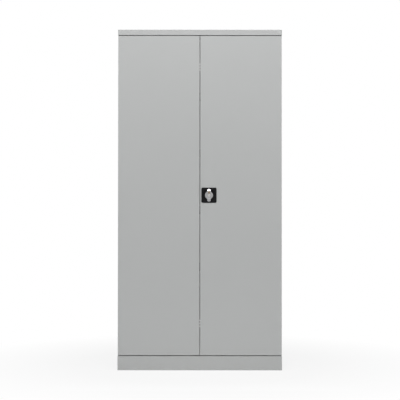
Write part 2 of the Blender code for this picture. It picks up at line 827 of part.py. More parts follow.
def make_door(side, word, steel):
    """A door leaf folded from sheet, open at the back, with lips turned in and hinge notches."""
    inner, outer = DOOR_CENTRE_GAP / 2, SIDE_OUTER_X
    low, high = beside(side, inner, outer, behind(DOOR_SETBACK), behind(DOOR_BACK), DOOR_BOTTOM, DOOR_TOP)
    rounded = DOOR_EDGES + DOOR_CORNERS
    mesh = box_shell(f"door_{word}", low, high, (REAR,), rounded, {REAR: DOOR_LIP})
    door = piece(f"door_{word}", mesh, steel)
    solidify(door, SHEET)
    notches = []
    reach = KNUCKLE_RADIUS + KNUCKLE_CLEARANCE
    for z in HINGE_HEIGHTS.values():
        half = KNUCKLE_HEIGHT + SEAT_GAP / 2 + NOTCH_END_GAP
        notches.append(beside(side, HINGE_X - reach, outer + OVERRUN, behind(HINGE_DEPTH - reach),
                              behind(DOOR_BACK + OVERRUN), z - half, z + half))
    cut(door, helper(f"notches_{word}", boxes_mesh(f"notches_{word}", notches)))
    return door


def make_stiffener(side, word, steel):
    """A hat channel down the inside of the leaf, its feet on the door's skin."""
    start = side * STIFFENER_FROM_CENTRE - STIFFENER_WIDTH / 2
    skin = behind(DOOR_SETBACK + SHEET + SEAT_GAP)
    crown = behind(DOOR_BACK - SHEET - SEAT_GAP - SHEET)
    left_leg, right_leg = start + STIFFENER_FOOT, start + STIFFENER_WIDTH - STIFFENER_FOOT
    outline = [
        (start, skin),
        (left_leg, skin),
        (left_leg, crown),
        (right_leg, crown),
        (right_leg, skin),
        (start + STIFFENER_WIDTH, skin),
    ]
    low, high = DOOR_BOTTOM + STIFFENER_END_GAP, DOOR_TOP - STIFFENER_END_GAP
    return folded(f"door_stiffener_{word}", outline, low, high, "Z", SHEET, steel)


def make_hinge_bracket(side, name, z, zinc):
    """The frame's half of a hinge: foot on the post, arm, lower knuckle and the pin that stands in it."""
    x = side * HINGE_X
    lap = SEAT_GAP / 2
    foot_back = FRAME_DEPTH - SEAT_GAP
    foot_half = HINGE_FOOT_HEIGHT / 2
    foot = beside(side, POST_INNER_X, HINGE_X + HINGE_ARM / 2, behind(foot_back - HINGE_FOOT),
                  behind(foot_back), z - foot_half, z + foot_half)
    arm = beside(side, HINGE_X - HINGE_ARM / 2, HINGE_X + HINGE_ARM / 2, behind(HINGE_DEPTH),
                 behind(foot_back - HINGE_FOOT / 2), z - lap - KNUCKLE_HEIGHT, z - lap)
    bracket = piece(name, boxes_mesh(name, [foot]), zinc)
    join(bracket, helper(name + "_arm", boxes_mesh(name + "_arm", [arm])))
    y = behind(HINGE_DEPTH)
    knuckle = rod_mesh(name + "_knuckle", KNUCKLE_RADIUS, (x, y, z - lap - KNUCKLE_HEIGHT), (x, y, z - lap))
    join(bracket, helper(name + "_knuckle", knuckle))
    pin_start = z - lap - KNUCKLE_HEIGHT / 2
    pin_end = z + lap + KNUCKLE_HEIGHT - HINGE_PIN_SHORT
    pin = rod_mesh(name + "_pin", HINGE_PIN_RADIUS, (x, y, pin_start), (x, y, pin_end))
    join(bracket, helper(name + "_pin", pin))


def make_hinge_leaf(side, name, z, zinc):
    """The door's half of a hinge: a bored barrel on the pin and a plate on the door's lip."""
    x, y = side * HINGE_X, behind(HINGE_DEPTH)
    low, high = z + SEAT_GAP / 2, z + SEAT_GAP / 2 + KNUCKLE_HEIGHT
    leaf = piece(name, rod_mesh(name, KNUCKLE_RADIUS, (x, y, low), (x, y, high)), zinc)
    plate_back = DOOR_BACK - SHEET - SEAT_GAP
    plate = beside(side, SIDE_OUTER_X - DOOR_LIP + LEAF_END_GAP, HINGE_X, behind(plate_back - LEAF_PLATE),
                   behind(plate_back), low, high)
    join(leaf, helper(name + "_plate", boxes_mesh(name + "_plate", [plate])))
    bore_radius = HINGE_PIN_RADIUS + HINGE_PIN_CLEARANCE
    bore = rod_mesh(name + "_bore", bore_radius, (x, y, low - OVERRUN), (x, y, high + OVERRUN))
    cut(leaf, helper(name + "_bore", bore))
    return leaf


def make_dish(plastic, zinc):
    """The lock's square plate with a round bowl sunk through the door, and the frame that clamps it."""
    outline = rounded_rectangle(DISH_SIDE, DISH_SIDE, DISH_CORNER)
    dish = piece("handle_dish", flat_mesh("handle_dish", [outline], DISH_PLATE), plastic)
    stand(dish, LOCK_X, behind((DISH_FRONT + DISH_BACK) / 2), LOCK_HEIGHT)
    rim = dish.modifiers.new("rim", "BEVEL")
    rim.width = DISH_EDGE
    rim.segments = 2
    outer = BOWL_RADIUS + BOWL_WALL
    body = turned_helper("bowl_body", [
        (0, (DISH_FRONT + DISH_BACK) / 2),
        (outer, (DISH_FRONT + DISH_BACK) / 2),
        (outer, BOWL_BACK),
        (0, BOWL_BACK),
    ], WIDE_ROUND_SIDES)
    join(dish, body)
    fillet = arc((BOWL_RADIUS - BOWL_FILLET, BOWL_FLOOR - BOWL_FILLET), BOWL_FILLET, 0, 90, 3)
    profile = [(0, DISH_FRONT - OVERRUN), (BOWL_RADIUS, DISH_FRONT - OVERRUN)] + fillet + [(0, BOWL_FLOOR)]
    cut(dish, turned_helper("bowl_hollow", profile, WIDE_ROUND_SIDES))
    hole_radius = SPINDLE_RADIUS + SPINDLE_CLEARANCE
    hole = lock_rod("spindle_hole", hole_radius, BOWL_FLOOR - OVERRUN, BOWL_BACK + OVERRUN)
    cut(dish, hole)
    square = rounded_rectangle(RETAINER_SIDE, RETAINER_SIDE, DISH_CORNER, 3)
    ring = arc((0, 0), door_hole_radius(), 360, 360 / WIDE_ROUND_SIDES, WIDE_ROUND_SIDES - 1)
    retainer = piece("dish_retainer", flat_mesh("dish_retainer", [square, ring], RETAINER_SHEET), zinc)
    middle = DOOR_SETBACK + SHEET + SEAT_GAP + RETAINER_SHEET / 2
    stand(retainer, LOCK_X, behind(middle), LOCK_HEIGHT)
    return [dish, retainer]


def door_hole_radius():
    return BOWL_RADIUS + BOWL_WALL + BOWL_HOLE_CLEARANCE


def turned_helper(name, profile, sides):
    tool = helper(name, profile_mesh(name, profile))
    turn_profile(tool, sides)
    stand(tool, LOCK_X, behind(0), LOCK_HEIGHT)
    return tool


def lock_rod(name, radius, front, back, x=0.0, z=0.0, sides=ROUND_SIDES):
    """A round helper along the lock's line, at a place beside its centre."""
    start = (LOCK_X + x, behind(front), LOCK_HEIGHT + z)
    end = (LOCK_X + x, behind(back), LOCK_HEIGHT + z)
    return helper(name, rod_mesh(name, radius, start, end, sides))


def make_handle(silver):
    """A round hub with a raised grip across it, sunk in the middle, and a spindle behind."""
    outline = rounded_rectangle(GRIP_WIDTH, GRIP_LENGTH, GRIP_WIDTH / 2)
    handle = piece("swivel_handle", flat_mesh("swivel_handle", [outline], GRIP_THICKNESS), silver)
    stand(handle, LOCK_X, behind((GRIP_FRONT + HUB_BACK) / 2), LOCK_HEIGHT)
    edge = handle.modifiers.new("edge", "BEVEL")
    edge.width = GRIP_EDGE
    edge.segments = 2
    rim = arc((HUB_RADIUS - HUB_EDGE, HUB_FRONT + HUB_EDGE), HUB_EDGE, -90, 0, 3)
    spindle_end = CAM_FRONT - SEAT_GAP
    hub = [(0, HUB_FRONT)] + rim + [
        (HUB_RADIUS, HUB_BACK - SEAT_GAP),
        (SPINDLE_RADIUS, HUB_BACK - SEAT_GAP),
        (SPINDLE_RADIUS, spindle_end),
        (0, spindle_end),
    ]
    join(handle, turned_helper("handle_hub", hub, WIDE_ROUND_SIDES))
    slope_out = POCKET_RADIUS + POCKET_SLOPE
    pocket = [
        (0, GRIP_FRONT - OVERRUN),
        (slope_out, GRIP_FRONT - OVERRUN),
        (slope_out, GRIP_FRONT),
        (POCKET_RADIUS, POCKET_FLOOR),
        (0, POCKET_FLOOR),
    ]
    cut(handle, turned_helper("handle_pocket", pocket, WIDE_ROUND_SIDES))
    plug_back = HUB_BACK - PLUG_FLOOR
    bore_radius = PLUG_RADIUS + SPINDLE_CLEARANCE
    bore = lock_rod("plug_bore", bore_radius, POCKET_FLOOR - OVERRUN, plug_back + SEAT_GAP,
                    sides=WIDE_ROUND_SIDES)
    cut(handle, bore)
    return handle


def make_plug(brass):
    """The key cylinder's plug, with its key slot upright."""
    front, back = POCKET_FLOOR - PLUG_PROUD, HUB_BACK - PLUG_FLOOR
    start, end = (0, behind(front), 0), (0, behind(back), 0)
    plug = piece("key_cylinder", rod_mesh("key_cylinder", PLUG_RADIUS, start, end, WIDE_ROUND_SIDES), brass)
    plug.location = (LOCK_X, 0, LOCK_HEIGHT)
    half_width, half_length = KEY_SLOT_WIDTH / 2, KEY_SLOT_LENGTH / 2
    low = (LOCK_X - half_width, behind(front - OVERRUN), LOCK_HEIGHT - half_length)
    high = (LOCK_X + half_width, behind(front + KEY_SLOT_DEPTH), LOCK_HEIGHT + half_length)
    cut(plug, helper("key_slot", boxes_mesh("key_slot", [(low, high)])))
    return plug


def make_cam(zinc):
    """A bar across the spindle with a pin near each end, one for each rod."""
    orbit = math.hypot(CAM_PIN_OFFSET, CAM_PIN_OFFSET)
    outline = rounded_rectangle(CAM_WIDTH, orbit * 2 + CAM_WIDTH, CAM_WIDTH / 2)
    cam = piece("lock_cam", flat_mesh("lock_cam", [outline], CAM_THICKNESS), zinc)
    stand(cam, LOCK_X, behind((CAM_FRONT + CAM_BACK) / 2), LOCK_HEIGHT, math.radians(-45))
    for side, word in ((1, "down"), (-1, "up")):
        offset = side * CAM_PIN_OFFSET
        pin = lock_rod(f"cam_pin_{word}", CAM_PIN_RADIUS, (CAM_FRONT + CAM_BACK) / 2,
                       ROD_BACK + CAM_PIN_PROUD, offset, offset)
        join(cam, pin)
    return cam


def rod_outline(length):
    """A flat rod that ends in a fork, open towards the spindle. The pin's middle is at zero height."""
    half_slot = CAM_PIN_RADIUS + FORK_PIN_PLAY
    orbit = math.hypot(CAM_PIN_OFFSET, CAM_PIN_OFFSET)
    slot_end = orbit + CAM_PIN_RADIUS + FORK_PIN_PLAY
    outer = slot_end + FORK_WALL
    tine = half_slot + FORK_TINE
    near, far = ROD_FROM_CENTRE - ROD_WIDTH / 2, ROD_FROM_CENTRE + ROD_WIDTH / 2
    points = [
        (FORK_INNER, -tine),
        (outer, -tine),
        (outer, tine),
        (far, tine + (outer - far)),
        (far, length - ROD_TIP_CHAMFER),
        (far - ROD_TIP_CHAMFER, length),
        (near + ROD_TIP_CHAMFER, length),
        (near, length - ROD_TIP_CHAMFER),
        (near, tine),
        (FORK_INNER, tine),
        (FORK_INNER, half_slot),
        (slot_end, half_slot),
        (slot_end, -half_slot),
        (FORK_INNER, -half_slot),
    ]
    return [(-across, up) for across, up in points]


def make_rod(name, pin_height, length, turn, zinc):
    rod = piece(name, flat_mesh(name, [rod_outline(length)], ROD_THICKNESS), zinc)
    stand(rod, LOCK_X, behind((ROD_FRONT + ROD_BACK) / 2), pin_height, turn)
    return rod


def make_rod_guide(name, side, z, zinc):
    """A strap over a rod, its feet on the front of the door's lip."""
    x = rod_x(side)
    foot = behind(DOOR_BACK - SHEET - SEAT_GAP)
    bridge = behind(ROD_FRONT - GUIDE_CLEARANCE)
    leg = ROD_WIDTH / 2 + GUIDE_CLEARANCE
    outline = [
        (x + leg + GUIDE_FOOT, foot),
        (x + leg, foot),
        (x + leg, bridge),
        (x - leg, bridge),
        (x - leg, foot),
        (x - leg - GUIDE_FOOT, foot),
    ]
    half = GUIDE_HEIGHT / 2
    return folded(name, outline, z - half, z + half, "Z", SHEET, zinc)


def rod_slot(side, low, high):
    """The slot in a door's edge that its rod slides through."""
    half = ROD_WIDTH / 2 + ROD_SLOT_CLEARANCE
    front, back = ROD_FRONT - ROD_SLOT_CLEARANCE, ROD_BACK + ROD_SLOT_CLEARANCE
    return (rod_x(side) - half, behind(front), low), (rod_x(side) + half, behind(back), high)


def make_duct(plastic):
    """Trunking up the back for the wiring: two walls on the back panel and the lid that closes them."""
    low, high = FLOOR_TOP + SEAT_GAP, box_bottom() - SEAT_GAP
    lid_front, back = behind(BACK_FACE - DUCT_DEPTH), behind(BACK_FACE)
    lid_back = lid_front + DUCT_WALL
    wall_front = lid_back + SEAT_GAP
    plates = {
        "duct_lid": (DUCT_LEFT, DUCT_RIGHT, lid_front, lid_back),
        "duct_wall_left": (DUCT_LEFT, DUCT_LEFT + DUCT_WALL, wall_front, back),
        "duct_wall_right": (DUCT_RIGHT - DUCT_WALL, DUCT_RIGHT, wall_front, back),
    }
    for name, (left, right, front, rear) in plates.items():
        piece(name, boxes_mesh(name, [((left, front, low), (right, rear, high))]), plastic)


def box_bottom():
    """Height of the breaker box's underside, above the top shelf's socket strip."""
    return SHELF_TOPS[-1] + STRIP_ABOVE_SHELF - STRIP_HEIGHT / 2


def strip_height(number):
    return SHELF_TOPS[number - 1] + STRIP_ABOVE_SHELF


def strip_left(number):
    """X of a strip's left end: against the duct, or against the breaker box on the top shelf."""
    return (DUCT_RIGHT if number < SHELF_COUNT else box_left() + BOX_WIDTH) + SEAT_GAP


def box_left():
    return (DUCT_LEFT + DUCT_RIGHT - BOX_WIDTH) / 2


def socket_x(number, socket):
    return strip_left(number) + SOCKET_FIRST + socket * SOCKET_PITCH


def make_strip(number, plastic):
    """A housing on the back with a row of round sunk sockets and the well of its rocker switch."""
    name = f"socket_strip_{number}"
    left, z = strip_left(number), strip_height(number)
    face, back = BACK_FACE - STRIP_DEPTH, BACK_FACE
    low = (left, behind(face), z - STRIP_HEIGHT / 2)
    high = (left + STRIP_LENGTH, behind(back), z + STRIP_HEIGHT / 2)
    strip = piece(name, boxes_mesh(name, [(low, high)]), plastic)
    edge = strip.modifiers.new("edge", "BEVEL")
    edge.width = STRIP_EDGE
    edge.segments = 2
    wells = bmesh.new()
    holes = bmesh.new()
    for socket in range(SOCKET_COUNT):
        x = socket_x(number, socket)
        add_rod(wells, SOCKET_RADIUS, (x, face - OVERRUN, z), (x, face + SOCKET_DEPTH, z), ROUND_SIDES)
        for side in (-1, 1):
            across = x + side * PIN_HOLE_SPACING / 2
            start = (across, face + SOCKET_DEPTH - SEAT_GAP, z)
            end = (across, face + SOCKET_DEPTH + PIN_HOLE_DEPTH, z)
            add_rod(holes, PIN_HOLE_RADIUS, start, end, SMALL_ROUND_SIDES)
    cut(strip, helper(name + "_wells", mesh_from(wells, name + "_wells")))
    cut(strip, helper(name + "_holes", mesh_from(holes, name + "_holes")))
    x = left + ROCKER_PLACE
    half_length = ROCKER_LENGTH / 2 + ROCKER_END_CLEARANCE
    half_height = ROCKER_HEIGHT / 2 + ROCKER_CLEARANCE
    travel = ROCKER_LENGTH / 2 * math.sin(ROCKER_ANGLE)
    depth = ROCKER_PIVOT_DEPTH + ROCKER_HEEL + travel + ROCKER_CLEARANCE
    well_low = (x - half_length, behind(face - OVERRUN), z - half_height)
    well_high = (x + half_length, behind(face + depth), z + half_height)
    cut(strip, helper(name + "_rocker_well", boxes_mesh(name + "_rocker_well", [(well_low, well_high)])))


def add_rod(bm, radius, start, end, sides):
    """A round bar from front to back; its ends are (x, distance behind the front, z)."""
    start = Vector((start[0], behind(start[1]), start[2]))
    end = Vector((end[0], behind(end[1]), end[2]))
    place = Matrix.Translation((start + end) / 2) @ Matrix.Rotation(math.radians(90), 4, "X")
    bmesh.ops.create_cone(
        bm, cap_ends=True, segments=sides, radius1=radius, radius2=radius,
        depth=(end - start).length, matrix=place,
    )


def make_rocker(number, plastic):
    """A rocker with a shallow dished front, at rest with its right end pressed in."""
    name = f"socket_rocker_{number}"
    half = ROCKER_LENGTH / 2
    outline = [
        (-half, -ROCKER_NOSE),
        (0, -ROCKER_NOSE + ROCKER_DISH),
        (half, -ROCKER_NOSE),
        (half, ROCKER_HEEL),
        (-half, ROCKER_HEEL),
    ]
    rocker = piece(name, flat_mesh(name, [outline], ROCKER_HEIGHT), plastic)
    y = behind(BACK_FACE - STRIP_DEPTH + ROCKER_PIVOT_DEPTH)
    rocker.location = (strip_left(number) + ROCKER_PLACE, y, strip_height(number))
    rocker.rotation_euler = (0, 0, ROCKER_ANGLE)
    return rocker


def window_middle():
    """X and Z of the middle of the breaker box's window."""
    return (DUCT_LEFT + DUCT_RIGHT) / 2, box_bottom() + BOX_HEIGHT / 2


def nose_front():
    """Distance behind the front of the modules' noses."""
    return BACK_FACE - MODULE_NOSE - SEAT_GAP


def flap_axis():
    """Y and Z of the line that the breaker box's flap swings on."""
    x, z = window_middle()
    y = behind(BACK_FACE - BOX_DEPTH - SEAT_GAP - FLAP_BARREL_RADIUS)
    return y, z + FLAP_HEIGHT / 2


def make_breaker_box(plastic):
    """A cover over the modules, open to the back, with a window for their levers and two flap ears."""
    x, z = window_middle()
    front, back = behind(BACK_FACE - BOX_DEPTH), behind(BACK_FACE)
    low = (box_left(), front, box_bottom())
    high = (box_left() + BOX_WIDTH, back, box_bottom() + BOX_HEIGHT)
    rounded = DOOR_EDGES + DOOR_CORNERS
    box = piece("breaker_box", box_shell("breaker_box", low, high, (REAR,), rounded), plastic)
    solidify(box, BOX_WALL)
    half_width = (RCD_WIDTH + MCB_WIDTH) / 2 + WINDOW_MARGIN
    window_low = (x - half_width, front - OVERRUN, z - WINDOW_HEIGHT / 2)
    window_high = (x + half_width, front + BOX_WALL + OVERRUN, z + WINDOW_HEIGHT / 2)
    cut(box, helper("breaker_window", boxes_mesh("breaker_window", [(window_low, window_high)])))
    y, axis_z = flap_axis()
    ear_half = FLAP_BARREL_RADIUS
    inner = FLAP_WIDTH / 2 + SEAT_GAP
    for side in (-1, 1):
        xs = sorted((x + side * inner, x + side * (inner + FLAP_EAR)))
        ear_low = (xs[0], y - ear_half, axis_z - ear_half)
        ear_high = (xs[1], front + BOX_WALL / 2, axis_z + ear_half)
        label = "flap_ear_left" if side < 0 else "flap_ear_right"
        join(box, helper(label, boxes_mesh(label, [(ear_low, ear_high)])))
    reach = inner + FLAP_EAR / 2
    pin = rod_mesh("flap_pin", FLAP_PIN_RADIUS, (x - reach, y, axis_z), (x + reach, y, axis_z))
    join(box, helper("flap_pin", pin))


def make_flap(plastic):
    """A shallow cover over the levers, hung on a barrel along its top edge."""
    x, _ = window_middle()
    y, axis_z = flap_axis()
    rear = y + FLAP_BARREL_RADIUS
    top = axis_z - FLAP_BARREL_RADIUS + FLAP_BARREL_LAP
    low = (x - FLAP_WIDTH / 2, rear - FLAP_DEPTH, top - FLAP_HEIGHT)
    high = (x + FLAP_WIDTH / 2, rear, top)
    mesh = box_shell("breaker_flap", low, high, (REAR,))
    flap = piece("breaker_flap", mesh, plastic)
    solidify(flap, FLAP_WALL)
    half = FLAP_WIDTH / 2
    barrel = rod_mesh("flap_barrel", FLAP_BARREL_RADIUS, (x - half, y, axis_z), (x + half, y, axis_z))
    join(flap, helper("flap_barrel", barrel))
    reach = half + OVERRUN
    bore_radius = FLAP_PIN_RADIUS + FLAP_PIN_CLEARANCE
    bore = rod_mesh("flap_bore", bore_radius, (x - reach, y, axis_z), (x + reach, y, axis_z))
    cut(flap, helper("flap_bore", bore))
    return flap


def rcd_x():
    return window_middle()[0] - MCB_WIDTH / 2


def mcb_x():
    return window_middle()[0] + RCD_WIDTH / 2


def make_module(name, x, width, plastic):
    """A modular breaker seen from the side: a body with a lower nose, and a well for its lever."""
    z = window_middle()[1]
    back = BACK_FACE - SEAT_GAP
    step, front = back - MODULE_BODY, nose_front()
    half, nose = MODULE_HEIGHT / 2, NOSE_HEIGHT / 2
    outline = [(back, -half), (back, half), (step, half), (step, nose)]
    outline += [(front, nose), (front, -nose), (step, -nose), (step, -half)]
    module = piece(name, flat_mesh(name, [outline], width - MODULE_GAP), plastic)
    side_on(module, x, behind(0), z)
    half_width = LEVER_WIDTH / 2 + LEVER_CLEARANCE
    radius = LEVER_RADIUS + LEVER_CLEARANCE
    y = behind(front + LEVER_SINK)
    well = rod_mesh(name + "_lever_well", radius, (x - half_width, y, z), (x + half_width, y, z))
    cut(module, helper(name + "_lever_well", well))
    mouth_half = lever_mouth()
    mouth_low = (x - half_width, behind(front - OVERRUN), z - mouth_half)
    mouth_high = (x + half_width, y, z + mouth_half)
    cut(module, helper(name + "_lever_mouth", boxes_mesh(name + "_lever_mouth", [(mouth_low, mouth_high)])))
    return module


def lever_mouth():
    """Half the height of the opening that a lever swings in."""
    reach = LEVER_SINK * math.tan(LEVER_REST_ANGLE)
    return reach + LEVER_RADIUS / math.cos(LEVER_REST_ANGLE) + LEVER_CLEARANCE


def make_lever(name, x, plastic):
    """A toggle: a round heel on its pivot with a tapered handle, up at rest."""
    heel = arc((0, 0), LEVER_RADIUS, -90, 90, 8)
    tip = arc((-LEVER_REACH + LEVER_TIP, 0), LEVER_TIP, 90, 270, 4)
    lever = piece(name, flat_mesh(name, [heel + tip], LEVER_WIDTH), plastic)
    side_on(lever, x, behind(nose_front() + LEVER_SINK), window_middle()[1])
    lever.matrix_world = lever.matrix_world @ Matrix.Rotation(-LEVER_REST_ANGLE, 4, "Z")
    return lever


def button_place():
    """X and Z of the test button, in the upper left of the residual current switch's nose."""
    x, z = window_middle()
    up = (NOSE_HEIGHT / 2 + lever_mouth()) / 2
    return rcd_x() - TEST_BUTTON_SIDE, z + up


def make_test_button(module, plastic):
    """A round button that slides in its own hole in the residual current switch."""
    x, z = button_place()
    front = nose_front() - TEST_BUTTON_PROUD
    back = front + TEST_BUTTON_LENGTH
    start, end = (x, behind(front), z), (x, behind(back), z)
    button = piece("rcd_test_button", rod_mesh("rcd_test_button", TEST_BUTTON_RADIUS, start, end), plastic)
    hole_back = behind(back + TEST_BUTTON_TRAVEL + SEAT_GAP)
    hole_front = behind(nose_front() - OVERRUN)
    radius = TEST_BUTTON_RADIUS + LEVER_CLEARANCE / 2
    cut(module, helper("button_hole", rod_mesh("button_hole", radius, (x, hole_front, z), (x, hole_back, z))))
    return button


def build():
    steel = material("powder_coated_steel", (0.45, 0.46, 0.45), 0.45)
    zinc = material("zinc_plated_steel", (0.55, 0.55, 0.53), 0.35, 1.0)
    silver = material("satin_silver", (0.62, 0.62, 0.62), 0.3, 1.0)
    brass = material("nickel_plated_brass", (0.6, 0.58, 0.52), 0.25, 1.0)
    black = material("black_plastic", (0.012, 0.012, 0.013), 0.45)
    grey = material("light_plastic", (0.6, 0.6, 0.58), 0.4)
    red = material("red_plastic", (0.5, 0.02, 0.015), 0.35)
    blue = material("dark_blue_plastic", (0.02, 0.05, 0.18), 0.35)
    rubber = material("black_rubber", (0.015, 0.015, 0.015), 0.8)

    make_plinth(steel)
    make_cap(steel)
    make_sides(steel)
    make_back(steel)
    make_grommet(rubber)
    make_floor(steel)
    make_front_rail(steel, rubber)
    make_shelves(steel)
    make_uprights(zinc)

    hinges = {}
    doors = {}
    for side, word in ((-1, "left"), (1, "right")):
        hinge = pivot(f"door_{word}_hinge", side * HINGE_X, behind(HINGE_DEPTH), DOOR_BOTTOM)
        doors[word] = make_door(side, word, steel)
        leaves = [doors[word], make_stiffener(side, word, steel)]
        for place, z in HINGE_HEIGHTS.items():
            make_hinge_bracket(side, f"hinge_bracket_{word}_{place}", z, zinc)
            leaves.append(make_hinge_leaf(side, f"hinge_leaf_{word}_{place}", z, zinc))
        carry(hinge, leaves)
        hinges[word] = hinge

    start = (LOCK_X, behind(DOOR_SETBACK - OVERRUN), LOCK_HEIGHT)
    end = (LOCK_X, behind(DOOR_SETBACK + SHEET + OVERRUN), LOCK_HEIGHT)
    hole = rod_mesh("dish_hole", door_hole_radius(), start, end, WIDE_ROUND_SIDES)
    cut(doors["right"], helper("dish_hole", hole))
    slots = [rod_slot(-1, DOOR_TOP - SHEET - OVERRUN, DOOR_TOP + OVERRUN)]
    slots.append(rod_slot(1, DOOR_BOTTOM - OVERRUN, DOOR_BOTTOM + SHEET + OVERRUN))
    cut(doors["right"], helper("rod_slots", boxes_mesh("rod_slots", slots)))

    fixed = make_dish(black, zinc)
    lip_middle = DOOR_LIP / 2
    fixed.append(make_rod_guide("rod_guide_top", -1, DOOR_TOP - lip_middle, zinc))
    fixed.append(make_rod_guide("rod_guide_bottom", 1, DOOR_BOTTOM + lip_middle, zinc))
    carry(hinges["right"], fixed)

    lock = pivot("handle_spindle", LOCK_X, behind(HUB_BACK), LOCK_HEIGHT, hinges["right"])
    carry(lock, [make_handle(silver), make_cam(zinc)])
    plug_line = pivot("key_cylinder_axis", LOCK_X, behind(POCKET_FLOOR), LOCK_HEIGHT, lock)
    carry(plug_line, [make_plug(brass)])
    top_pin, bottom_pin = LOCK_HEIGHT - CAM_PIN_OFFSET, LOCK_HEIGHT + CAM_PIN_OFFSET
    top_length = DOOR_TOP - ROD_TIP_INSET - top_pin
    bottom_length = bottom_pin - DOOR_BOTTOM - ROD_TIP_INSET
    rods = [make_rod("rod_top", top_pin, top_length, 0.0, zinc)]
    rods.append(make_rod("rod_bottom", bottom_pin, bottom_length, math.pi, zinc))
    carry(hinges["right"], rods)

    make_duct(grey)
    for number in range(1, SHELF_COUNT + 1):
        make_strip(number, grey)
        rocker = make_rocker(number, red)
        x, y, z = rocker.location
        carry(pivot(f"socket_rocker_axis_{number}", x, y, z), [rocker])
    make_breaker_box(grey)
    y, z = flap_axis()
    carry(pivot("breaker_flap_hinge", window_middle()[0], y, z), [make_flap(black)])
    rcd = make_module("rcd_module", rcd_x(), RCD_WIDTH, grey)
    make_module("mcb_module", mcb_x(), MCB_WIDTH, grey)
    lever_y = behind(nose_front() + LEVER_SINK)
    for name, x in (("rcd_lever", rcd_x()), ("mcb_lever", mcb_x())):
        axis = pivot(f"{name}_axis", x, lever_y, window_middle()[1])
        carry(axis, [make_lever(name, x, blue)])
    x, z = button_place()
    line = pivot("rcd_test_button_line", x, behind(nose_front()), z)
    carry(line, [make_test_button(rcd, blue)])


for obj in list(bpy.data.objects):
    bpy.data.objects.remove(obj)
PARTS = bpy.data.collections.new("battery_charging_cabinet")
CUTTERS = bpy.data.collections.new("cutters")
for group in (PARTS, CUTTERS):
    bpy.context.scene.collection.children.link(group)
build()
bpy.context.view_layer.update()
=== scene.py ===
# %% [markdown]
# # Battery charging cabinet
#
# A tall two-door cupboard of folded sheet steel, in which batteries stand on shelves and charge from socket
# strips. This notebook dresses the engineering model: every solid gets either a finish or a finer piece in
# its place. All lengths are metres, +Z is up and the doors face -Y.

# %% Load the frame
import json
import math

import bmesh
import bpy
from mathutils import Euler, Matrix, Vector


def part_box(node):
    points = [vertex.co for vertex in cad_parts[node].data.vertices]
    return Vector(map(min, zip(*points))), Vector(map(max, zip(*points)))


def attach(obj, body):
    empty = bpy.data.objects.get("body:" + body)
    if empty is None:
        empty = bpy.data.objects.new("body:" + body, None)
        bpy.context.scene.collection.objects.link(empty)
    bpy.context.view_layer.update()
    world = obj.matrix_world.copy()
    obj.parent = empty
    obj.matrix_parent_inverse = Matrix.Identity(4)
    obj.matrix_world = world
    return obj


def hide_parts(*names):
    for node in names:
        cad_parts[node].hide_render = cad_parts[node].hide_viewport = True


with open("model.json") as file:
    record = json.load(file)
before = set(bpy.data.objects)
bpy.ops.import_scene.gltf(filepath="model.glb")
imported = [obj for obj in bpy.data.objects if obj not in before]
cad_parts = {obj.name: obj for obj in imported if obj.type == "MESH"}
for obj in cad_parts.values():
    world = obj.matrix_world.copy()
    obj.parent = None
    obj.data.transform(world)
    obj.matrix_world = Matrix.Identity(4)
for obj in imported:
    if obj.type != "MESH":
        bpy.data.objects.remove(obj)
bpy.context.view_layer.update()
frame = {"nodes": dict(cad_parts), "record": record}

# %% [markdown]
# ## Camera
#
# The cabinet is seen square on from about six metres, through a long lens, so its sides stay hidden and its
# edges stay nearly parallel. The camera stands a little below the middle and looks up by less than a degree,
# which narrows the top by half a per cent. It was held by hand or on a slightly crooked tripod: the picture
# leans by a twentieth of a degree.

# %% Camera
CAMERA_PLACE = (0.0007, -6.25, 0.889)
CAMERA_PITCH = math.radians(0.8)
CAMERA_ROLL = math.radians(0.045)
LENS = 94.35
camera_data = bpy.data.cameras.new("camera")
camera_data.lens = LENS
camera_data.sensor_width = 36
camera_data.clip_end = 100
camera = bpy.data.objects.new("camera", camera_data)
bpy.context.scene.collection.objects.link(camera)
camera.location = CAMERA_PLACE
level = Euler((math.radians(90) + CAMERA_PITCH, 0, 0)).to_matrix()
camera.rotation_euler = (level @ Matrix.Rotation(CAMERA_ROLL, 3, "Z")).to_euler()
bpy.context.scene.camera = camera

# %% [markdown]
# ## Shader maths
#
# A finish is a sum of small patterns. Written with node boxes that is hard to read, so one small class wraps
# a node's output and lets Python's own operators add the Math nodes. Colours never go through it, because a
# Math node turns them grey: they are mixed by `blend`.

# %% A shader value with Python's operators
class Wire:
    """One output of a node; an expression on it adds Math nodes to its tree."""

    def __init__(self, nodes, socket):
        self.nodes = nodes
        self.socket = socket

    def maths(self, operation, first, second):
        return self.nodes.node("ShaderNodeMath", {"operation": operation}, {0: first, 1: second})

    def __add__(self, other):
        return self.maths("ADD", self, other)

    def __sub__(self, other):
        return self.maths("SUBTRACT", self, other)

    def __rsub__(self, other):
        return self.maths("SUBTRACT", other, self)

    def __mul__(self, other):
        return self.maths("MULTIPLY", self, other)

    __radd__ = __add__
    __rmul__ = __mul__


# %% [markdown]
# Every new node comes from one method. It takes the node's type, then its settings, then what goes into its
# sockets, and gives back a `Wire`. Materials and the world are both such trees, so it stands in a class of
# its own.

# %% A tree of nodes
WHITE = (1, 1, 1, 1)
SEEN_RAYS = ("Is Camera Ray", "Is Glossy Ray", "Is Transmission Ray")


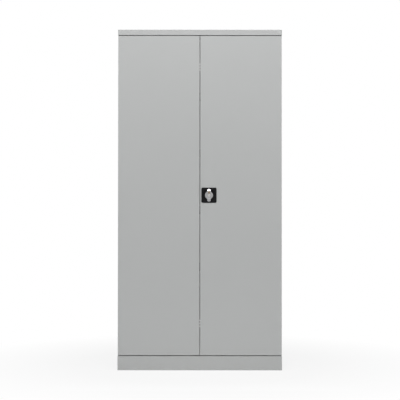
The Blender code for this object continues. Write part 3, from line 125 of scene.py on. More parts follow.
class Nodes:
    """A node tree, written with one call for each node."""

    def __init__(self, tree):
        self.tree = tree

    def node(self, kind, settings=None, inputs=None, output=0):
        node = self.tree.nodes.new(kind)
        for name, value in (settings or {}).items():
            if name == "stops":
                ramp = node.color_ramp
                while len(ramp.elements) < len(value):
                    ramp.elements.new(0)
                for element, (place, shade) in zip(ramp.elements, value):
                    element.position = place
                    element.color = (shade, shade, shade, 1)
            else:
                setattr(node, name, value)
        for name, value in (inputs or {}).items():
            self.feed(node.inputs[name], value)
        return Wire(self, node.outputs[output])

    def feed(self, socket, value):
        if isinstance(value, Wire):
            self.tree.links.new(value.socket, socket)
        else:
            socket.default_value = value

    def whiten(self, shader, kind, share, output):
        """Mixes a shader with this share of white, for the camera and for what mirrors or lets through."""
        direct, mirrored, through = [self.node("ShaderNodeLightPath", output=ray) for ray in SEEN_RAYS]
        white = self.node(kind, None, {"Color": WHITE, "Strength": 1.0})
        parts = {0: (direct + mirrored + through) * share, 1: Wire(self, shader.outputs[0]), 2: white}
        self.feed(self.tree.nodes[output].inputs["Surface"], self.node("ShaderNodeMixShader", None, parts))


# %% [markdown]
# A finish is the tree of one material, with short names for the patterns that real surfaces are made of.
# What is the same all over a surface is set on the shader directly.

# %% A material with its nodes
def srgb(*channels):
    """A colour as read off a screen, in the linear light that the shader uses."""
    return tuple(value / 12.92 if value < 0.04045 else ((value + 0.055) / 1.055) ** 2.4 for value in channels)


class Finish(Nodes):
    """A material for one of the cabinet's surfaces."""

    def __init__(self, name, colour, **constants):
        self.material = bpy.data.materials.new(name)
        self.material.use_nodes = True
        super().__init__(self.material.node_tree)
        self.shader = self.tree.nodes["Principled BSDF"]
        self.colour = (*colour, 1)
        self.material.diffuse_color = self.colour
        self.wear(Base_Color=self.colour, **constants)
        self.place = self.node("ShaderNodeTexCoord", output="Object")

    def wear(self, **values):
        """Sets sockets of the shader, each to a value or to a wire that changes over the surface."""
        for socket, value in values.items():
            self.feed(self.shader.inputs[socket.replace("_", " ")], value)

    def noise(self, scale, detail=2.0, roughness=0.5, stretch=None):
        """Soft noise. A stretch gives each axis its own share of the scale."""
        place = self.place
        if stretch:
            place = self.node("ShaderNodeMapping", None, {"Vector": place, "Scale": stretch})
        values = {"Vector": place, "Scale": scale, "Detail": detail, "Roughness": roughness}
        return self.node("ShaderNodeTexNoise", None, values)

    def part(self, vector, axis):
        """One of a vector's three numbers."""
        return self.node("ShaderNodeSeparateXYZ", None, {"Vector": vector}, axis)

    def away(self, middle, weights):
        """How far a point is from a middle, in metres. A weight of 0 leaves its axis out."""
        offset = self.place
        for operation, value in (("SUBTRACT", middle), ("MULTIPLY", weights)):
            offset = self.node("ShaderNodeVectorMath", {"operation": operation}, {0: offset, 1: value})
        return self.node("ShaderNodeVectorMath", {"operation": "LENGTH"}, {0: offset}, "Value")

    def ramp(self, value, stops):
        return self.node("ShaderNodeValToRGB", {"stops": stops}, {"Fac": value})

    def blend(self, factor, first, second):
        """A mix of two colours."""
        values = {"Factor": factor, 6: first, 7: second}
        return self.node("ShaderNodeMix", {"data_type": "RGBA"}, values, 2)

    def shade(self, factor, amount):
        """The finish's own colour, made darker or lighter by up to this share."""
        pair = []
        for share in (1 - amount, 1 + amount):
            pair.append((*(min(channel * share, 1) for channel in self.colour[:3]), 1))
        return self.blend(factor, *pair)

    def bump(self, height, strength, distance):
        values = {"Height": height, "Strength": strength, "Distance": distance}
        return self.node("ShaderNodeBump", None, values)


# %% [markdown]
# ## Powder coat
#
# The carcass and the doors are sprayed with light grey powder, which melts into a skin with a fine orange
# peel. It could be a plain grey with a low gloss, but the peel is what makes it read as steel rather than
# paper: noise with cells of about a millimetre and a half goes into the bump, a slower one varies the gloss
# the way hands and cloths do, and a little dust settles towards the foot.

# %% Powder coat
PEEL_SCALE, GRAIN_SCALE, PEEL_DEPTH = 620, 2600, 0.0004
WIPES = (9, 9, 2.2)
DUST_HEIGHT, DUST_COVER = 0.16, 0.35
DUST_TINT = (0.95, 0.93, 0.89)


def powder_coat():
    finish = Finish("cabinet_powder_coat", srgb(0.713, 0.718, 0.715), Specular_IOR_Level=0.45)
    peel = finish.noise(PEEL_SCALE, 1.5)
    grain = finish.noise(GRAIN_SCALE, 1.0)
    toned = finish.shade(finish.noise(2.3, 3.0), 0.016)
    wiped = finish.noise(1.4, 4.0, 0.6, WIPES)
    foot = finish.ramp(finish.part(finish.place, "Z"), [(0.0, 1.0), (DUST_HEIGHT, 0.0)])
    dust = foot * finish.ramp(finish.noise(38, 4.0, 0.65), [(0.42, 0.0), (0.75, 1.0)])
    dusty = [channel * share for channel, share in zip(finish.colour, DUST_TINT)]
    finish.wear(
        Base_Color=finish.blend(dust * DUST_COVER, toned, (*dusty, 1)),
        Roughness=0.36 + wiped * 0.12 + grain * 0.05 + dust * 0.10,
        Normal=finish.bump(peel + grain * 0.2, 0.16, PEEL_DEPTH),
    )
    return finish


# %% [markdown]
# ## Zinc plate
#
# Hinges, uprights and the rods of the lock are zinc-plated steel. Their metal is grey with a slight blue,
# clouded in soft patches, with faint lines from rolling. A metallic base with a changing roughness does it.

# %% Zinc plate
SPANGLE_SCALE = 160
ROLLED_LINES = (14, 14, 1)


def zinc_plate():
    finish = Finish("zinc_plated_steel", srgb(0.70, 0.71, 0.72), Metallic=1.0)
    lines = finish.noise(60, 3.0, 0.7, ROLLED_LINES)
    cloud = finish.noise(26, 3.0)
    cells = {"Vector": finish.place, "Scale": SPANGLE_SCALE}
    spangle = finish.part(finish.node("ShaderNodeTexVoronoi", None, cells, "Color"), 0)
    finish.wear(
        Base_Color=finish.shade(cloud * 0.6 + spangle * 0.4, 0.14),
        Roughness=0.24 + lines * 0.12 + cloud * 0.08,
        Normal=finish.bump(lines, 0.05, 0.0002),
    )
    return finish


# %% [markdown]
# ## Moulded plastics and rubber
#
# The lock's dish is black glass-filled nylon with a fine spark-eroded grain; the strips, the duct and the
# breaker box are smoother mouldings. One function makes them all: the grain's size and depth, the gloss and a
# slight unevenness of colour are what tells them apart.

# %% Moulded plastics and rubber
SCUFFS = (40, 6, 9)


def moulding(name, colour, roughness, grain_scale, grain_depth, uneven=0.03, **constants):
    finish = Finish(name, srgb(*colour), **constants)
    grain = finish.noise(grain_scale, 2.0, 0.6)
    rubbed = finish.ramp(finish.noise(3.0, 5.0, 0.7, SCUFFS), [(0.58, 0.0), (0.72, 1.0)])
    finish.wear(
        Base_Color=finish.shade(finish.noise(14, 3.0), uneven),
        Roughness=roughness + grain * 0.08 + rubbed * 0.07,
        Normal=finish.bump(grain, grain_depth, 0.0003),
    )
    return finish


# %% [markdown]
# ## The handle's metal
#
# The handle is cast in zinc alloy, tumbled smooth and plated to a satin silver, so it mirrors lamps as soft
# patches. Above the key cylinder, under the upper lobe, a brownish patch is painted into the colour and made
# a little rougher: it is a painted warm reflection in the shade there. The cylinder's face is harder and
# finely turned, in rings about its own middle.

# %% Satin silver and turned nickel
LOCK_X, LOCK_Z = 0.052, 1.000
# Middle and colour of the painted warm reflection in the shade above the key cylinder.
PAINTED_REFLECTION_PLACE = (LOCK_X + 0.001, 0, LOCK_Z + 0.0165)
PAINTED_REFLECTION_BROWN = srgb(0.56, 0.48, 0.375)
CENTIMETRES = 100
TURNING_WAVES = 16000


def satin_silver():
    finish = Finish("handle_satin_silver", srgb(0.62, 0.62, 0.625), Metallic=1.0)
    tumbled = finish.noise(900, 3.0, 0.6)
    handled = finish.noise(45, 4.0, 0.6)
    away = finish.away(PAINTED_REFLECTION_PLACE, (1, 0, 0.8)) * CENTIMETRES
    # Painted reflection: a brownish patch under the upper lobe, its edge broken by the handling noise.
    painted_reflection_patch = finish.ramp(away + handled * 0.5, [(0.72, 1.0), (1.15, 0.0)])
    finish.wear(
        Base_Color=finish.blend(painted_reflection_patch * 0.8, finish.shade(handled, 0.05), (*PAINTED_REFLECTION_BROWN, 1)),
        Roughness=0.22 + tumbled * 0.08 + handled * 0.08 + painted_reflection_patch * 0.1,
        Normal=finish.bump(tumbled, 0.06, 0.0002),
    )
    return finish


def turned_nickel():
    finish = Finish("key_cylinder_nickel", srgb(0.69, 0.69, 0.685), Metallic=1.0)
    radius = finish.away((LOCK_X, 0, LOCK_Z), (1, 0, 1))
    rings = finish.node("ShaderNodeMath", {"operation": "SINE"}, {0: radius * TURNING_WAVES})
    cloud = finish.noise(260, 3.0)
    finish.wear(
        Base_Color=finish.shade(cloud, 0.08),
        Roughness=0.20 + cloud * 0.12,
        Normal=finish.bump(rings * 0.5 + cloud, 0.08, 0.0001),
    )
    return finish


# %% [markdown]
# The record gives each solid a slot, and each slot has one of these finishes. A solid that keeps its own
# shape takes the finish straight away; the finer pieces below take it by the same table.

# %% Slots and their finishes
FINISHES = {
    "cabinet_paint": powder_coat(),
    "zinc_steel": zinc_plate(),
    "dish_black": moulding(
        "dish_black_nylon", (0.07, 0.072, 0.078), 0.42, 2200, 0.30, 0.10, Specular_IOR_Level=0.12
    ),
    "handle_silver": satin_silver(),
    "key_metal": turned_nickel(),
    "strip_shell": moulding("strip_dark_plastic", (0.165, 0.168, 0.175), 0.38, 1800, 0.16, 0.05),
    "rocker_red": moulding("rocker_red_plastic", (0.74, 0.10, 0.08), 0.16, 1900, 0.03),
    "duct_grey": moulding("duct_light_plastic", (0.74, 0.745, 0.74), 0.42, 1500, 0.10),
    "box_white": moulding("breaker_box_white_plastic", (0.92, 0.92, 0.905), 0.26, 1500, 0.06),
    "flap_smoke": moulding("smoked_clear_plastic", (0.30, 0.31, 0.33), 0.06, 1900, 0.01, Alpha=0.42),
    "module_grey": moulding("module_light_plastic", (0.84, 0.845, 0.83), 0.40, 1900, 0.14),
    "lever_blue": moulding("lever_blue_plastic", (0.10, 0.22, 0.47), 0.30, 1900, 0.08),
    "button_yellow": moulding("button_yellow_plastic", (0.90, 0.68, 0.12), 0.30, 1900, 0.08),
    "rubber_black": moulding("black_rubber", (0.10, 0.10, 0.10), 0.68, 900, 0.35, 0.12),
}
SLOT_OF = {part["node"]: part["material_slot"] for part in frame["record"]["subparts"]}
BODY_OF = {node: body for body, nodes in frame["record"]["behaviour"]["bodies"].items() for node in nodes}
for node, solid in frame["nodes"].items():
    for material_slot in solid.material_slots:
        material_slot.material = FINISHES[SLOT_OF[node]].material
print("finishes:", len(FINISHES))

# %% [markdown]
# ## From a solid to a finer piece
#
# Sheet steel has no knife edges. Most solids are the right shape already, so their finer piece starts as a
# copy: its triangles are merged back into whole faces, every hard edge gets a tiny round, and the shading is
# weighted by area, so that flat faces stay flat next to small bends.

# %% Helpers for meshes
DEPTH = 0.500
SHEET = 0.001
WELD = 0.000002
SLIVER = 1e-7
HARD_EDGE = math.radians(50)
WHOLE_FACE = math.radians(1)


def behind(distance):
    """Y of a plane this far behind the front of the cabinet."""
    return distance - DEPTH / 2


def mesh_from(bm, name="mesh"):
    mesh = bpy.data.meshes.new(name)
    bm.to_mesh(mesh)
    bm.free()
    return mesh


def applied(obj):
    """Makes an object's modifiers part of its mesh."""
    graph = bpy.context.evaluated_depsgraph_get()
    mesh = bpy.data.meshes.new_from_object(obj.evaluated_get(graph))
    obj.modifiers.clear()
    obj.data = mesh
    return obj


def add(name, data):
    obj = bpy.data.objects.new(name, data)
    bpy.context.scene.collection.objects.link(obj)
    return obj


def dress(name, mesh, slot, body, nodes=(), limit=HARD_EDGE, finish=None):
    """A visible piece: its mesh, its finish, the body that it rides on and the solids that it stands for.

    It is shaded smooth with its hard edges kept and its large faces left flat."""
    mesh.shade_smooth()
    mesh.set_sharp_from_angle(angle=limit)
    obj = add(name, mesh)
    obj.modifiers.new("weighted", "WEIGHTED_NORMAL").keep_sharp = True
    applied(obj)
    obj.data.name = name
    obj.data.materials.clear()
    obj.data.materials.append((finish or FINISHES[slot]).material)
    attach(obj, body)
    if nodes:
        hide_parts(*nodes)
    return obj


def round_edges(bm, edges, radius, steps):
    bmesh.ops.bevel(
        bm, geom=edges, offset=radius, offset_type="OFFSET", segments=steps, profile=0.5,
        affect="EDGES", clamp_overlap=True,
    )


def soften(node, radius, steps):
    """The finer piece of a solid whose shape is right: the same shape with its hard edges rounded."""
    bm = bmesh.new()
    bm.from_mesh(frame["nodes"][node].data)
    bmesh.ops.remove_doubles(bm, verts=bm.verts, dist=WELD)
    bmesh.ops.dissolve_limit(bm, angle_limit=WHOLE_FACE, verts=bm.verts, edges=bm.edges)
    hard = [edge for edge in bm.edges if edge.is_manifold and edge.calc_face_angle() > HARD_EDGE]
    round_edges(bm, hard, radius, steps)
    bmesh.ops.dissolve_degenerate(bm, dist=SLIVER, edges=bm.edges)
    name = f"{node}_fine"
    return dress(name, mesh_from(bm), SLOT_OF[node], BODY_OF[node], [node])


# %% [markdown]
# The folded parts of the carcass, the shelves, the stiffeners and the lock's flat parts are all made this
# way. Only the radius differs: a sheet's cut edge is broken by a file, a moulding's edge is rounder.

# %% Parts whose shape is right
FILED_EDGE = 0.0002
MOULDED_EDGE = 0.0004
SHEET_PARTS = [
    "side_panel_left", "side_panel_right", "back_panel", "floor_panel", "front_rail_top",
    "shelf_1", "shelf_2", "shelf_3", "shelf_4", "door_stiffener_left", "door_stiffener_right",
    "upright_front_left", "upright_front_right", "upright_rear_left", "upright_rear_right",
    "dish_retainer", "lock_cam", "rod_top", "rod_bottom", "rod_guide_top", "rod_guide_bottom",
]
MOULDED_PARTS = [
    "door_stop_pad", "duct_lid", "duct_wall_left", "duct_wall_right", "breaker_box", "breaker_flap",
    "rcd_module", "mcb_module", "rcd_lever", "mcb_lever", "rcd_test_button",
    "socket_rocker_1", "socket_rocker_2", "socket_rocker_3", "socket_rocker_4",
]
for node in SHEET_PARTS:
    soften(node, FILED_EDGE, 2)
for node in MOULDED_PARTS:
    soften(node, MOULDED_EDGE, 3)
print("softened:", len(SHEET_PARTS) + len(MOULDED_PARTS))

# %% [markdown]
# ## Folded shells: doors, cap and plinth
#
# These four are what the photograph shows. Each starts as a box. The edges where the sheet is bent are
# rounded, the open side is taken out, leaving a lip where the sheet turns in, and a Solidify modifier gives
# the sheet its thickness on the inside. That is also how a folding machine sees them.

# %% Directions and bent edges
FRONT, REAR, DOWN, UP, LEFT, RIGHT = (0, -1, 0), (0, 1, 0), (0, 0, -1), (0, 0, 1), (-1, 0, 0), (1, 0, 0)
POSTS = [(near, side) for near in (FRONT, REAR) for side in (LEFT, RIGHT)]
TOP_RIM = [(UP, side) for side in (FRONT, REAR, LEFT, RIGHT)]
DOOR_RIM = [(FRONT, side) for side in (LEFT, RIGHT, UP, DOWN)]
DOOR_CORNERS = [(end, side) for end in (UP, DOWN) for side in (LEFT, RIGHT)]
BEND_RADIUS = 0.002
BEND_STEPS = 5
ALIGNED = 0.99


def looks_along(face, direction):
    return face.normal.dot(Vector(direction)) > ALIGNED


def is_bent(edge, bends):
    """True where an edge's two faces look along a pair of directions that is bent, not cut."""
    one, other = edge.link_faces
    return any(
        looks_along(one, first) and looks_along(other, second)
        for pair in bends for first, second in (pair, pair[::-1])
    )


# %% A box of sheet with its bends and lips
def add_box(bm, low, high):
    low, high = Vector(low), Vector(high)
    corners = bmesh.ops.create_cube(bm, size=1)["verts"]
    bmesh.ops.scale(bm, vec=high - low, verts=corners)
    bmesh.ops.translate(bm, vec=(low + high) / 2, verts=corners)


def open_side(bm, direction, lip):
    """Takes out the side of a box, leaving a lip of this width round the opening."""
    facing = [face for face in bm.faces if looks_along(face, direction)]
    face = max(facing, key=lambda one: one.calc_area())
    if lip:
        rim = [loop.vert for loop in face.loops]
        places = [vert.co for vert in rim]
        low, high = [Vector([most(axis) for axis in zip(*places)]) for most in (min, max)]
        middle = (low + high) / 2
        share = Vector([(size - 2 * lip) / size if size > WELD else 1 for size in high - low])
        inner = [bm.verts.new(middle + (vert.co - middle) * share) for vert in rim]
        for step, vert in enumerate(rim):
            after = (step + 1) % len(rim)
            bm.faces.new((vert, rim[after], inner[after], inner[step]))
    bm.faces.remove(face)


def sheet_box(low, high, bends, openings):
    """The outer skin of a folded box. `openings` gives each open side its lip."""
    bm = bmesh.new()
    add_box(bm, low, high)
    bm.normal_update()
    round_edges(bm, [edge for edge in bm.edges if is_bent(edge, bends)], BEND_RADIUS, BEND_STEPS)
    for direction, lip in openings.items():
        bm.normal_update()
        open_side(bm, direction, lip)
    bm.normal_update()
    return mesh_from(bm)


# %% Thickness and cut-outs
def thicken(obj, sheet):
    modifier = obj.modifiers.new("sheet", "SOLIDIFY")
    modifier.thickness = sheet
    modifier.offset = -1
    modifier.use_even_offset = True
    modifier.use_quality_normals = True


def combine(obj, mesh, operation="DIFFERENCE"):
    """Cuts another closed mesh out of an object, or joins it on."""
    tool = add("tool", mesh)
    modifier = obj.modifiers.new("combine", "BOOLEAN")
    modifier.operation = operation
    modifier.object = tool
    applied(obj)
    bpy.data.objects.remove(tool)
    return obj


def boxes(*pairs):
    bm = bmesh.new()
    for low, high in pairs:
        add_box(bm, low, high)
    bmesh.ops.recalc_face_normals(bm, faces=bm.faces)
    return mesh_from(bm)


def taken(obj):
    """An object's mesh, once nothing else is to be done to the object."""
    mesh = obj.data
    bpy.data.objects.remove(obj)
    return mesh


def sealed(mesh):
    """The mesh with any small opening that a cut has left in it filled."""
    bm = bmesh.new()
    bm.from_mesh(mesh)
    bmesh.ops.holes_fill(bm, edges=[edge for edge in bm.edges if edge.is_boundary], sides=0)
    return mesh_from(bm)


# %% Plinth
PLINTH_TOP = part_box("base_plinth")[1].z
PLINTH_SHEET = 0.0015
PLINTH_FLANGE = 0.035
HALF_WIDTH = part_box("base_plinth")[1].x
ROD_TOP_X, ROD_BOTTOM_X = 0.040, 0.064
STRIKE = (0.0085, behind(0.0139), behind(0.0214))
OVERRUN = 0.005


def bolt_hole(x, z, hole):
    """A block that cuts a bolt's slot in the sheet at this height. A hole is (half a width, front, rear)."""
    half, front, rear = hole
    return (x - half, front, z - OVERRUN), (x + half, rear, z + OVERRUN)


plinth = add("plinth", sheet_box(
    (-HALF_WIDTH, behind(0), 0), (HALF_WIDTH, behind(DEPTH), PLINTH_TOP), POSTS,
    {UP: PLINTH_FLANGE, DOWN: PLINTH_FLANGE},
))
thicken(plinth, PLINTH_SHEET)
combine(plinth, boxes(bolt_hole(ROD_BOTTOM_X, PLINTH_TOP, STRIKE)))
dress("plinth_shell", taken(plinth), "cabinet_paint", "cabinet", ["base_plinth"])
print("plinth height:", PLINTH_TOP)

# %% [markdown]
# The cap is the plinth's opposite: a pan turned upside down. Its fascia carries a flange that runs back over
# the doors, with the hole that the upper bolt shoots into.

# %% Top cap
CAP_LOW, CAP_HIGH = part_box("top_cap")
FLANGE_INSET, FLANGE_BACK = 0.012, behind(0.02417)
FLANGE_HALF = HALF_WIDTH - FLANGE_INSET

cap = add("cap", sheet_box(
    (-HALF_WIDTH, behind(0), CAP_LOW.z), (HALF_WIDTH, behind(DEPTH), CAP_HIGH.z), TOP_RIM + POSTS,
    {DOWN: 0},
))
thicken(cap, SHEET)
combine(cap, boxes((
    (-FLANGE_HALF, behind(SHEET / 2), CAP_LOW.z), (FLANGE_HALF, FLANGE_BACK, CAP_LOW.z + SHEET),
)), "UNION")
combine(cap, boxes(bolt_hole(ROD_TOP_X, CAP_LOW.z, STRIKE)))
dress("cap_shell", taken(cap), "cabinet_paint", "cabinet", ["top_cap"])
print("cap height:", CAP_HIGH.z - CAP_LOW.z)

# %% [markdown]
# A door leaf is a shallow tray with its lips turned in all round. Its hinge side is notched at the three
# hinges, the right leaf has a round hole for the lock, and slots in its edges let the rods out. The bar that
# cuts the hole is two rows of points with a band of faces between them, as most round pieces below are.

# %% Rows of points
def circuit(reach, sides):
    """Points (across, up) once round a middle. A reach is a radius or a function of the angle."""
    points = []
    for step in range(sides):
        angle = 2 * math.pi * step / sides
        radius = reach(angle) if callable(reach) else reach
        points.append((radius * math.cos(angle), radius * math.sin(angle)))
    return points


def skinned(rows, ring=False):
    """A closed mesh over rows of points, with a band of faces from each row to the next.

    In a ring the last row joins the first. Otherwise both are filled, unless they are one point."""
    bm = bmesh.new()
    rows = [[bm.verts.new(point) for point in row] for row in rows]
    count = max(len(row) for row in rows)
    for first, second in zip(rows, rows[1:] + (rows[:1] if ring else [])):
        for step in range(count):
            after = (step + 1) % count
            corners = [first[step % len(first)], first[after % len(first)]]
            corners += [second[after % len(second)], second[step % len(second)]]
            bm.faces.new(list(dict.fromkeys(corners)))
    for row in () if ring else (rows[0], rows[-1]):
        if len(row) > 1:
            bm.faces.new(row)
    bmesh.ops.recalc_face_normals(bm, faces=bm.faces)
    return mesh_from(bm)


def cylinder(radius, x, z, front, rear, sides=96):
    """A closed round bar from front to rear."""
    points = circuit(radius, sides)
    return skinned([[(x + across, y, z + up) for across, up in points] for y in (front, rear)])


# %% Door leaves
DOOR_LIP = 0.025
NOTCH_HALF = 0.02165
NOTCH_REACH = 0.0045
HINGE_X, HINGE_Y = 0.4637, -0.234
HINGE_HEIGHTS = {"low": 0.235, "mid": 1.000, "high": 1.765}
LOCK_HOLE_RADIUS = 0.041
ROD_SLOT = (0.0065, behind(0.0159), behind(0.0194))
SIDES = {"left": -1, "right": 1}


def beside(side, inner, outer, front, rear, low, high):
    """A block on one side of the cabinet, given by how far it is from the middle."""
    xs = sorted((side * inner, side * outer))
    return (xs[0], front, low), (xs[1], rear, high)


def door_leaf(word, side):
    low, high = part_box(f"door_{word}")
    leaf = add("leaf", sheet_box(low, high, DOOR_RIM + DOOR_CORNERS, {REAR: DOOR_LIP}))
    thicken(leaf, SHEET)
    inner, outer = HINGE_X - NOTCH_REACH, HINGE_X + 2 * OVERRUN
    front, rear = HINGE_Y - NOTCH_REACH, high.y + OVERRUN
    combine(leaf, boxes(*[
        beside(side, inner, outer, front, rear, z - NOTCH_HALF, z + NOTCH_HALF)
        for z in HINGE_HEIGHTS.values()
    ]))
    if word == "right":
        skin = (low.y - OVERRUN, low.y + SHEET + OVERRUN)
        combine(leaf, cylinder(LOCK_HOLE_RADIUS, LOCK_X, LOCK_Z, *skin))
        combine(leaf, boxes(bolt_hole(ROD_TOP_X, high.z, ROD_SLOT), bolt_hole(ROD_BOTTOM_X, low.z, ROD_SLOT)))
    return dress(f"door_leaf_{word}", taken(leaf), "cabinet_paint", f"door_{word}_leaf", [f"door_{word}"])


for word, side in SIDES.items():
    leaf = door_leaf(word, side)
    print(leaf.name, len(leaf.data.polygons), "faces")

# %% [markdown]
# ## The lock's dish
#
# A square plate with a round bowl sunk through the door. It is a chain of closed rings, from the spindle
# hole up the bowl, over the plate and back behind it. Every ring has the same number of points at the same
# angles, so neighbouring rings are joined by a band of quads and the shading stays clean.

# %% Rings and fillets
def square_reach(half, corner):
    """A ring that is a square with round corners: how far it is from the middle at each angle."""
    def reach(angle):
        across, up = abs(math.cos(angle)), abs(math.sin(angle))
        flat = half / max(across, up)
        if min(across, up) * flat <= half - corner:
            return flat
        centre = half - corner
        along = centre * (across + up)
        return along + math.sqrt(max(along * along - 2 * centre * centre + corner * corner, 0))
    return reach


def quarter(centre_radius, centre_depth, radius, start, end, steps):
    """Radii and depths round a small fillet, with its angles in degrees."""
    turns = [math.radians(start + (end - start) * step / steps) for step in range(steps + 1)]
    points = [(radius * math.cos(turn), radius * math.sin(turn)) for turn in turns]
    return [(centre_radius + out, centre_depth + back) for out, back in points]


def turned(profile, centre, sides=128, ring=False):
    """A shape round a line from front to back, from pairs of (reach, depth behind the front)."""
    x, z = centre
    rows = []
    for reach, depth in profile:
        points = [(0, 0)] if reach == 0 else circuit(reach, sides)
        rows.append([(x + across, behind(depth), z + up) for across, up in points])
    return skinned(rows, ring)


# %% Dish
DISH_FRONT, DISH_BACK = -0.0013, 0.0007
DISH_HALF, DISH_CORNER, DISH_EDGE = 0.0435, 0.0085, 0.0007
BOWL_RADIUS, BOWL_OUTER, BOWL_FILLET = 0.039, 0.0405, 0.003
BOWL_FLOOR, BOWL_BACK = 0.0105, 0.0120
SPINDLE_HOLE = 0.0083
MOUTH_EDGE = 0.0006
LOCK = (LOCK_X, LOCK_Z)
RING_POINTS = 192

dish_rings = [(SPINDLE_HOLE, BOWL_FLOOR)]
dish_rings += quarter(BOWL_RADIUS - BOWL_FILLET, BOWL_FLOOR - BOWL_FILLET, BOWL_FILLET, 90, 0, 6)
dish_rings += quarter(BOWL_RADIUS + MOUTH_EDGE, DISH_FRONT + MOUTH_EDGE, MOUTH_EDGE, 180, 270, 4)
for inset, depth in quarter(-DISH_EDGE, DISH_FRONT + DISH_EDGE, DISH_EDGE, -90, 0, 4):
    dish_rings.append((square_reach(DISH_HALF + inset, DISH_CORNER + inset), depth))
dish_rings.append((square_reach(DISH_HALF, DISH_CORNER), DISH_BACK))
dish_rings += [(BOWL_OUTER, DISH_BACK), (BOWL_OUTER, BOWL_BACK), (SPINDLE_HOLE, BOWL_BACK)]
dish = turned(dish_rings, LOCK, RING_POINTS, ring=True)
dress("dish_moulding", dish, "dish_black", "door_right_leaf", ["handle_dish"])
print("dish rings:", len(dish_rings))

# %% [markdown]
# ## The rotary handle
#
# The casting is a round hub with a raised grip across it. A shallow round pocket for the key cylinder cuts
# the grip in two lobes. Each lobe is a stack of outlines, two straight sides between a blunt end and the
# pocket's arc. To round its edge, every next outline is computed narrower and further forward. Its end is
# planed off at a slant, which is why the lamp shows as one bright patch at the end of the upper lobe.

# %% One outline of a lobe
LOBE_SIDE_STEPS = 10
LOBE_ARC_STEPS = 28
LOBE_BLUNTNESS = 0.74


def blunted(value):
    """A sine or cosine pushed outwards, which makes a squarer end of a half circle."""
    return math.copysign(abs(value) ** LOBE_BLUNTNESS, value)


def lobe_outline(half_width, end_height, pocket_radius):
    """Points (across, up) round the upper lobe, from the pocket's right corner anticlockwise."""
    corner = math.sqrt(pocket_radius ** 2 - half_width ** 2)
    points = []
    for step in range(LOBE_SIDE_STEPS):
        points.append((half_width, corner + (end_height - corner) * step / LOBE_SIDE_STEPS))
    for step in range(LOBE_ARC_STEPS + 1):
        turn = math.pi * step / LOBE_ARC_STEPS
        across, up = blunted(math.cos(turn)), blunted(math.sin(turn))
        points.append((half_width * across, end_height + half_width * up))
    for step in range(1, LOBE_SIDE_STEPS + 1):
        points.append((-half_width, end_height + (corner - end_height) * step / LOBE_SIDE_STEPS))
    start = math.atan2(corner, -half_width)
    end = math.atan2(corner, half_width)
    for step in range(1, LOBE_SIDE_STEPS):
        turn = start + (end - start) * step / LOBE_SIDE_STEPS
        points.append((pocket_radius * math.cos(turn), pocket_radius * math.sin(turn)))
    return points


# %% Both lobes
GRIP_HALF, GRIP_END = 0.0105, 0.0358
HUB_FRONT, HUB_BACK, HUB_RADIUS, HUB_EDGE = 0.0020, 0.0092, 0.023, 0.0015
GRIP_FRONT = -0.0033
GRIP_EDGE, GRIP_EDGE_STEPS = 0.0024, 8
BACK_EDGE = 0.0012
POCKET_RADIUS, POCKET_SLOPE, POCKET_FLOOR = 0.014, 0.0025, 0.0026
FACET_START = 0.0243
FACET_TILT = math.radians(19)
FACET_BLOCK = 0.03


def lobe(side):
    """The upper lobe (1), or the lower (-1), which is the same turned half round."""
    edge_start = GRIP_FRONT + GRIP_EDGE
    levels = [(BACK_EDGE, HUB_BACK), (0, HUB_BACK - BACK_EDGE), (0, POCKET_FLOOR)]
    levels += [(0, (POCKET_FLOOR + edge_start) / 2), (0, edge_start)]
    for step in range(1, GRIP_EDGE_STEPS + 1):
        turn = math.radians(90 * step / GRIP_EDGE_STEPS)
        levels.append((GRIP_EDGE * (1 - math.cos(turn)), GRIP_FRONT + GRIP_EDGE * (1 - math.sin(turn))))
    rows = []
    for inset, depth in levels:
        raised = max((POCKET_FLOOR - depth) / (POCKET_FLOOR - GRIP_FRONT), 0)
        pocket = POCKET_RADIUS + POCKET_SLOPE * raised + (inset if raised else 0)
        outline = lobe_outline(GRIP_HALF - inset, GRIP_END - GRIP_HALF, pocket)
        rows.append([(LOCK_X + side * across, behind(depth), LOCK_Z + side * up) for across, up in outline])
    return skinned(rows)


def facet_cutter(side):
    """A block whose tilted back face planes off the end of a lobe."""
    block = boxes(((-FACET_BLOCK, -FACET_BLOCK, -FACET_BLOCK), (FACET_BLOCK, 0, FACET_BLOCK)))
    place = Matrix.Translation((LOCK_X, behind(GRIP_FRONT), LOCK_Z + side * FACET_START))
    block.transform(place @ Matrix.Rotation(-side * FACET_TILT, 4, "X"))
    return block


# %% Hub, pocket and spindle
SPINDLE_RADIUS, SPINDLE_END = 0.008, 0.0132
PLUG_RADIUS, PLUG_BACK = 0.0085, 0.0077
POCKET_RIM = 0.0004
PLAY = 0.0003
TURNED_EDGE = math.radians(32)

bore, bore_end = PLUG_RADIUS + PLAY, PLUG_BACK + PLAY
hub_profile = [(0, bore_end), (bore, bore_end), (bore, POCKET_FLOOR)]
hub_profile += [(POCKET_RADIUS - POCKET_RIM, POCKET_FLOOR), (POCKET_RADIUS, HUB_FRONT)]
hub_profile += quarter(HUB_RADIUS - HUB_EDGE, HUB_FRONT + HUB_EDGE, HUB_EDGE, -90, 0, 6)
hub_profile += [(HUB_RADIUS, HUB_BACK - PLAY), (SPINDLE_RADIUS, HUB_BACK - PLAY)]
hub_profile += [(SPINDLE_RADIUS, SPINDLE_END), (0, SPINDLE_END)]

handle = add("handle", turned(hub_profile, LOCK))
for side in (1, -1):
    grip = add("grip", lobe(side))
    combine(grip, facet_cutter(side))
    combine(handle, taken(grip), "UNION")
casting = sealed(taken(handle))
handle = dress("handle_casting", casting, "handle_silver", "handle", ["swivel_handle"], TURNED_EDGE)
print("handle:", len(handle.data.polygons), "faces")

# %% [markdown]
# The key cylinder's face stands 1.4 mm proud of the pocket. It has a stepped rim, a slightly hollow middle
# and an upright slot for the key.

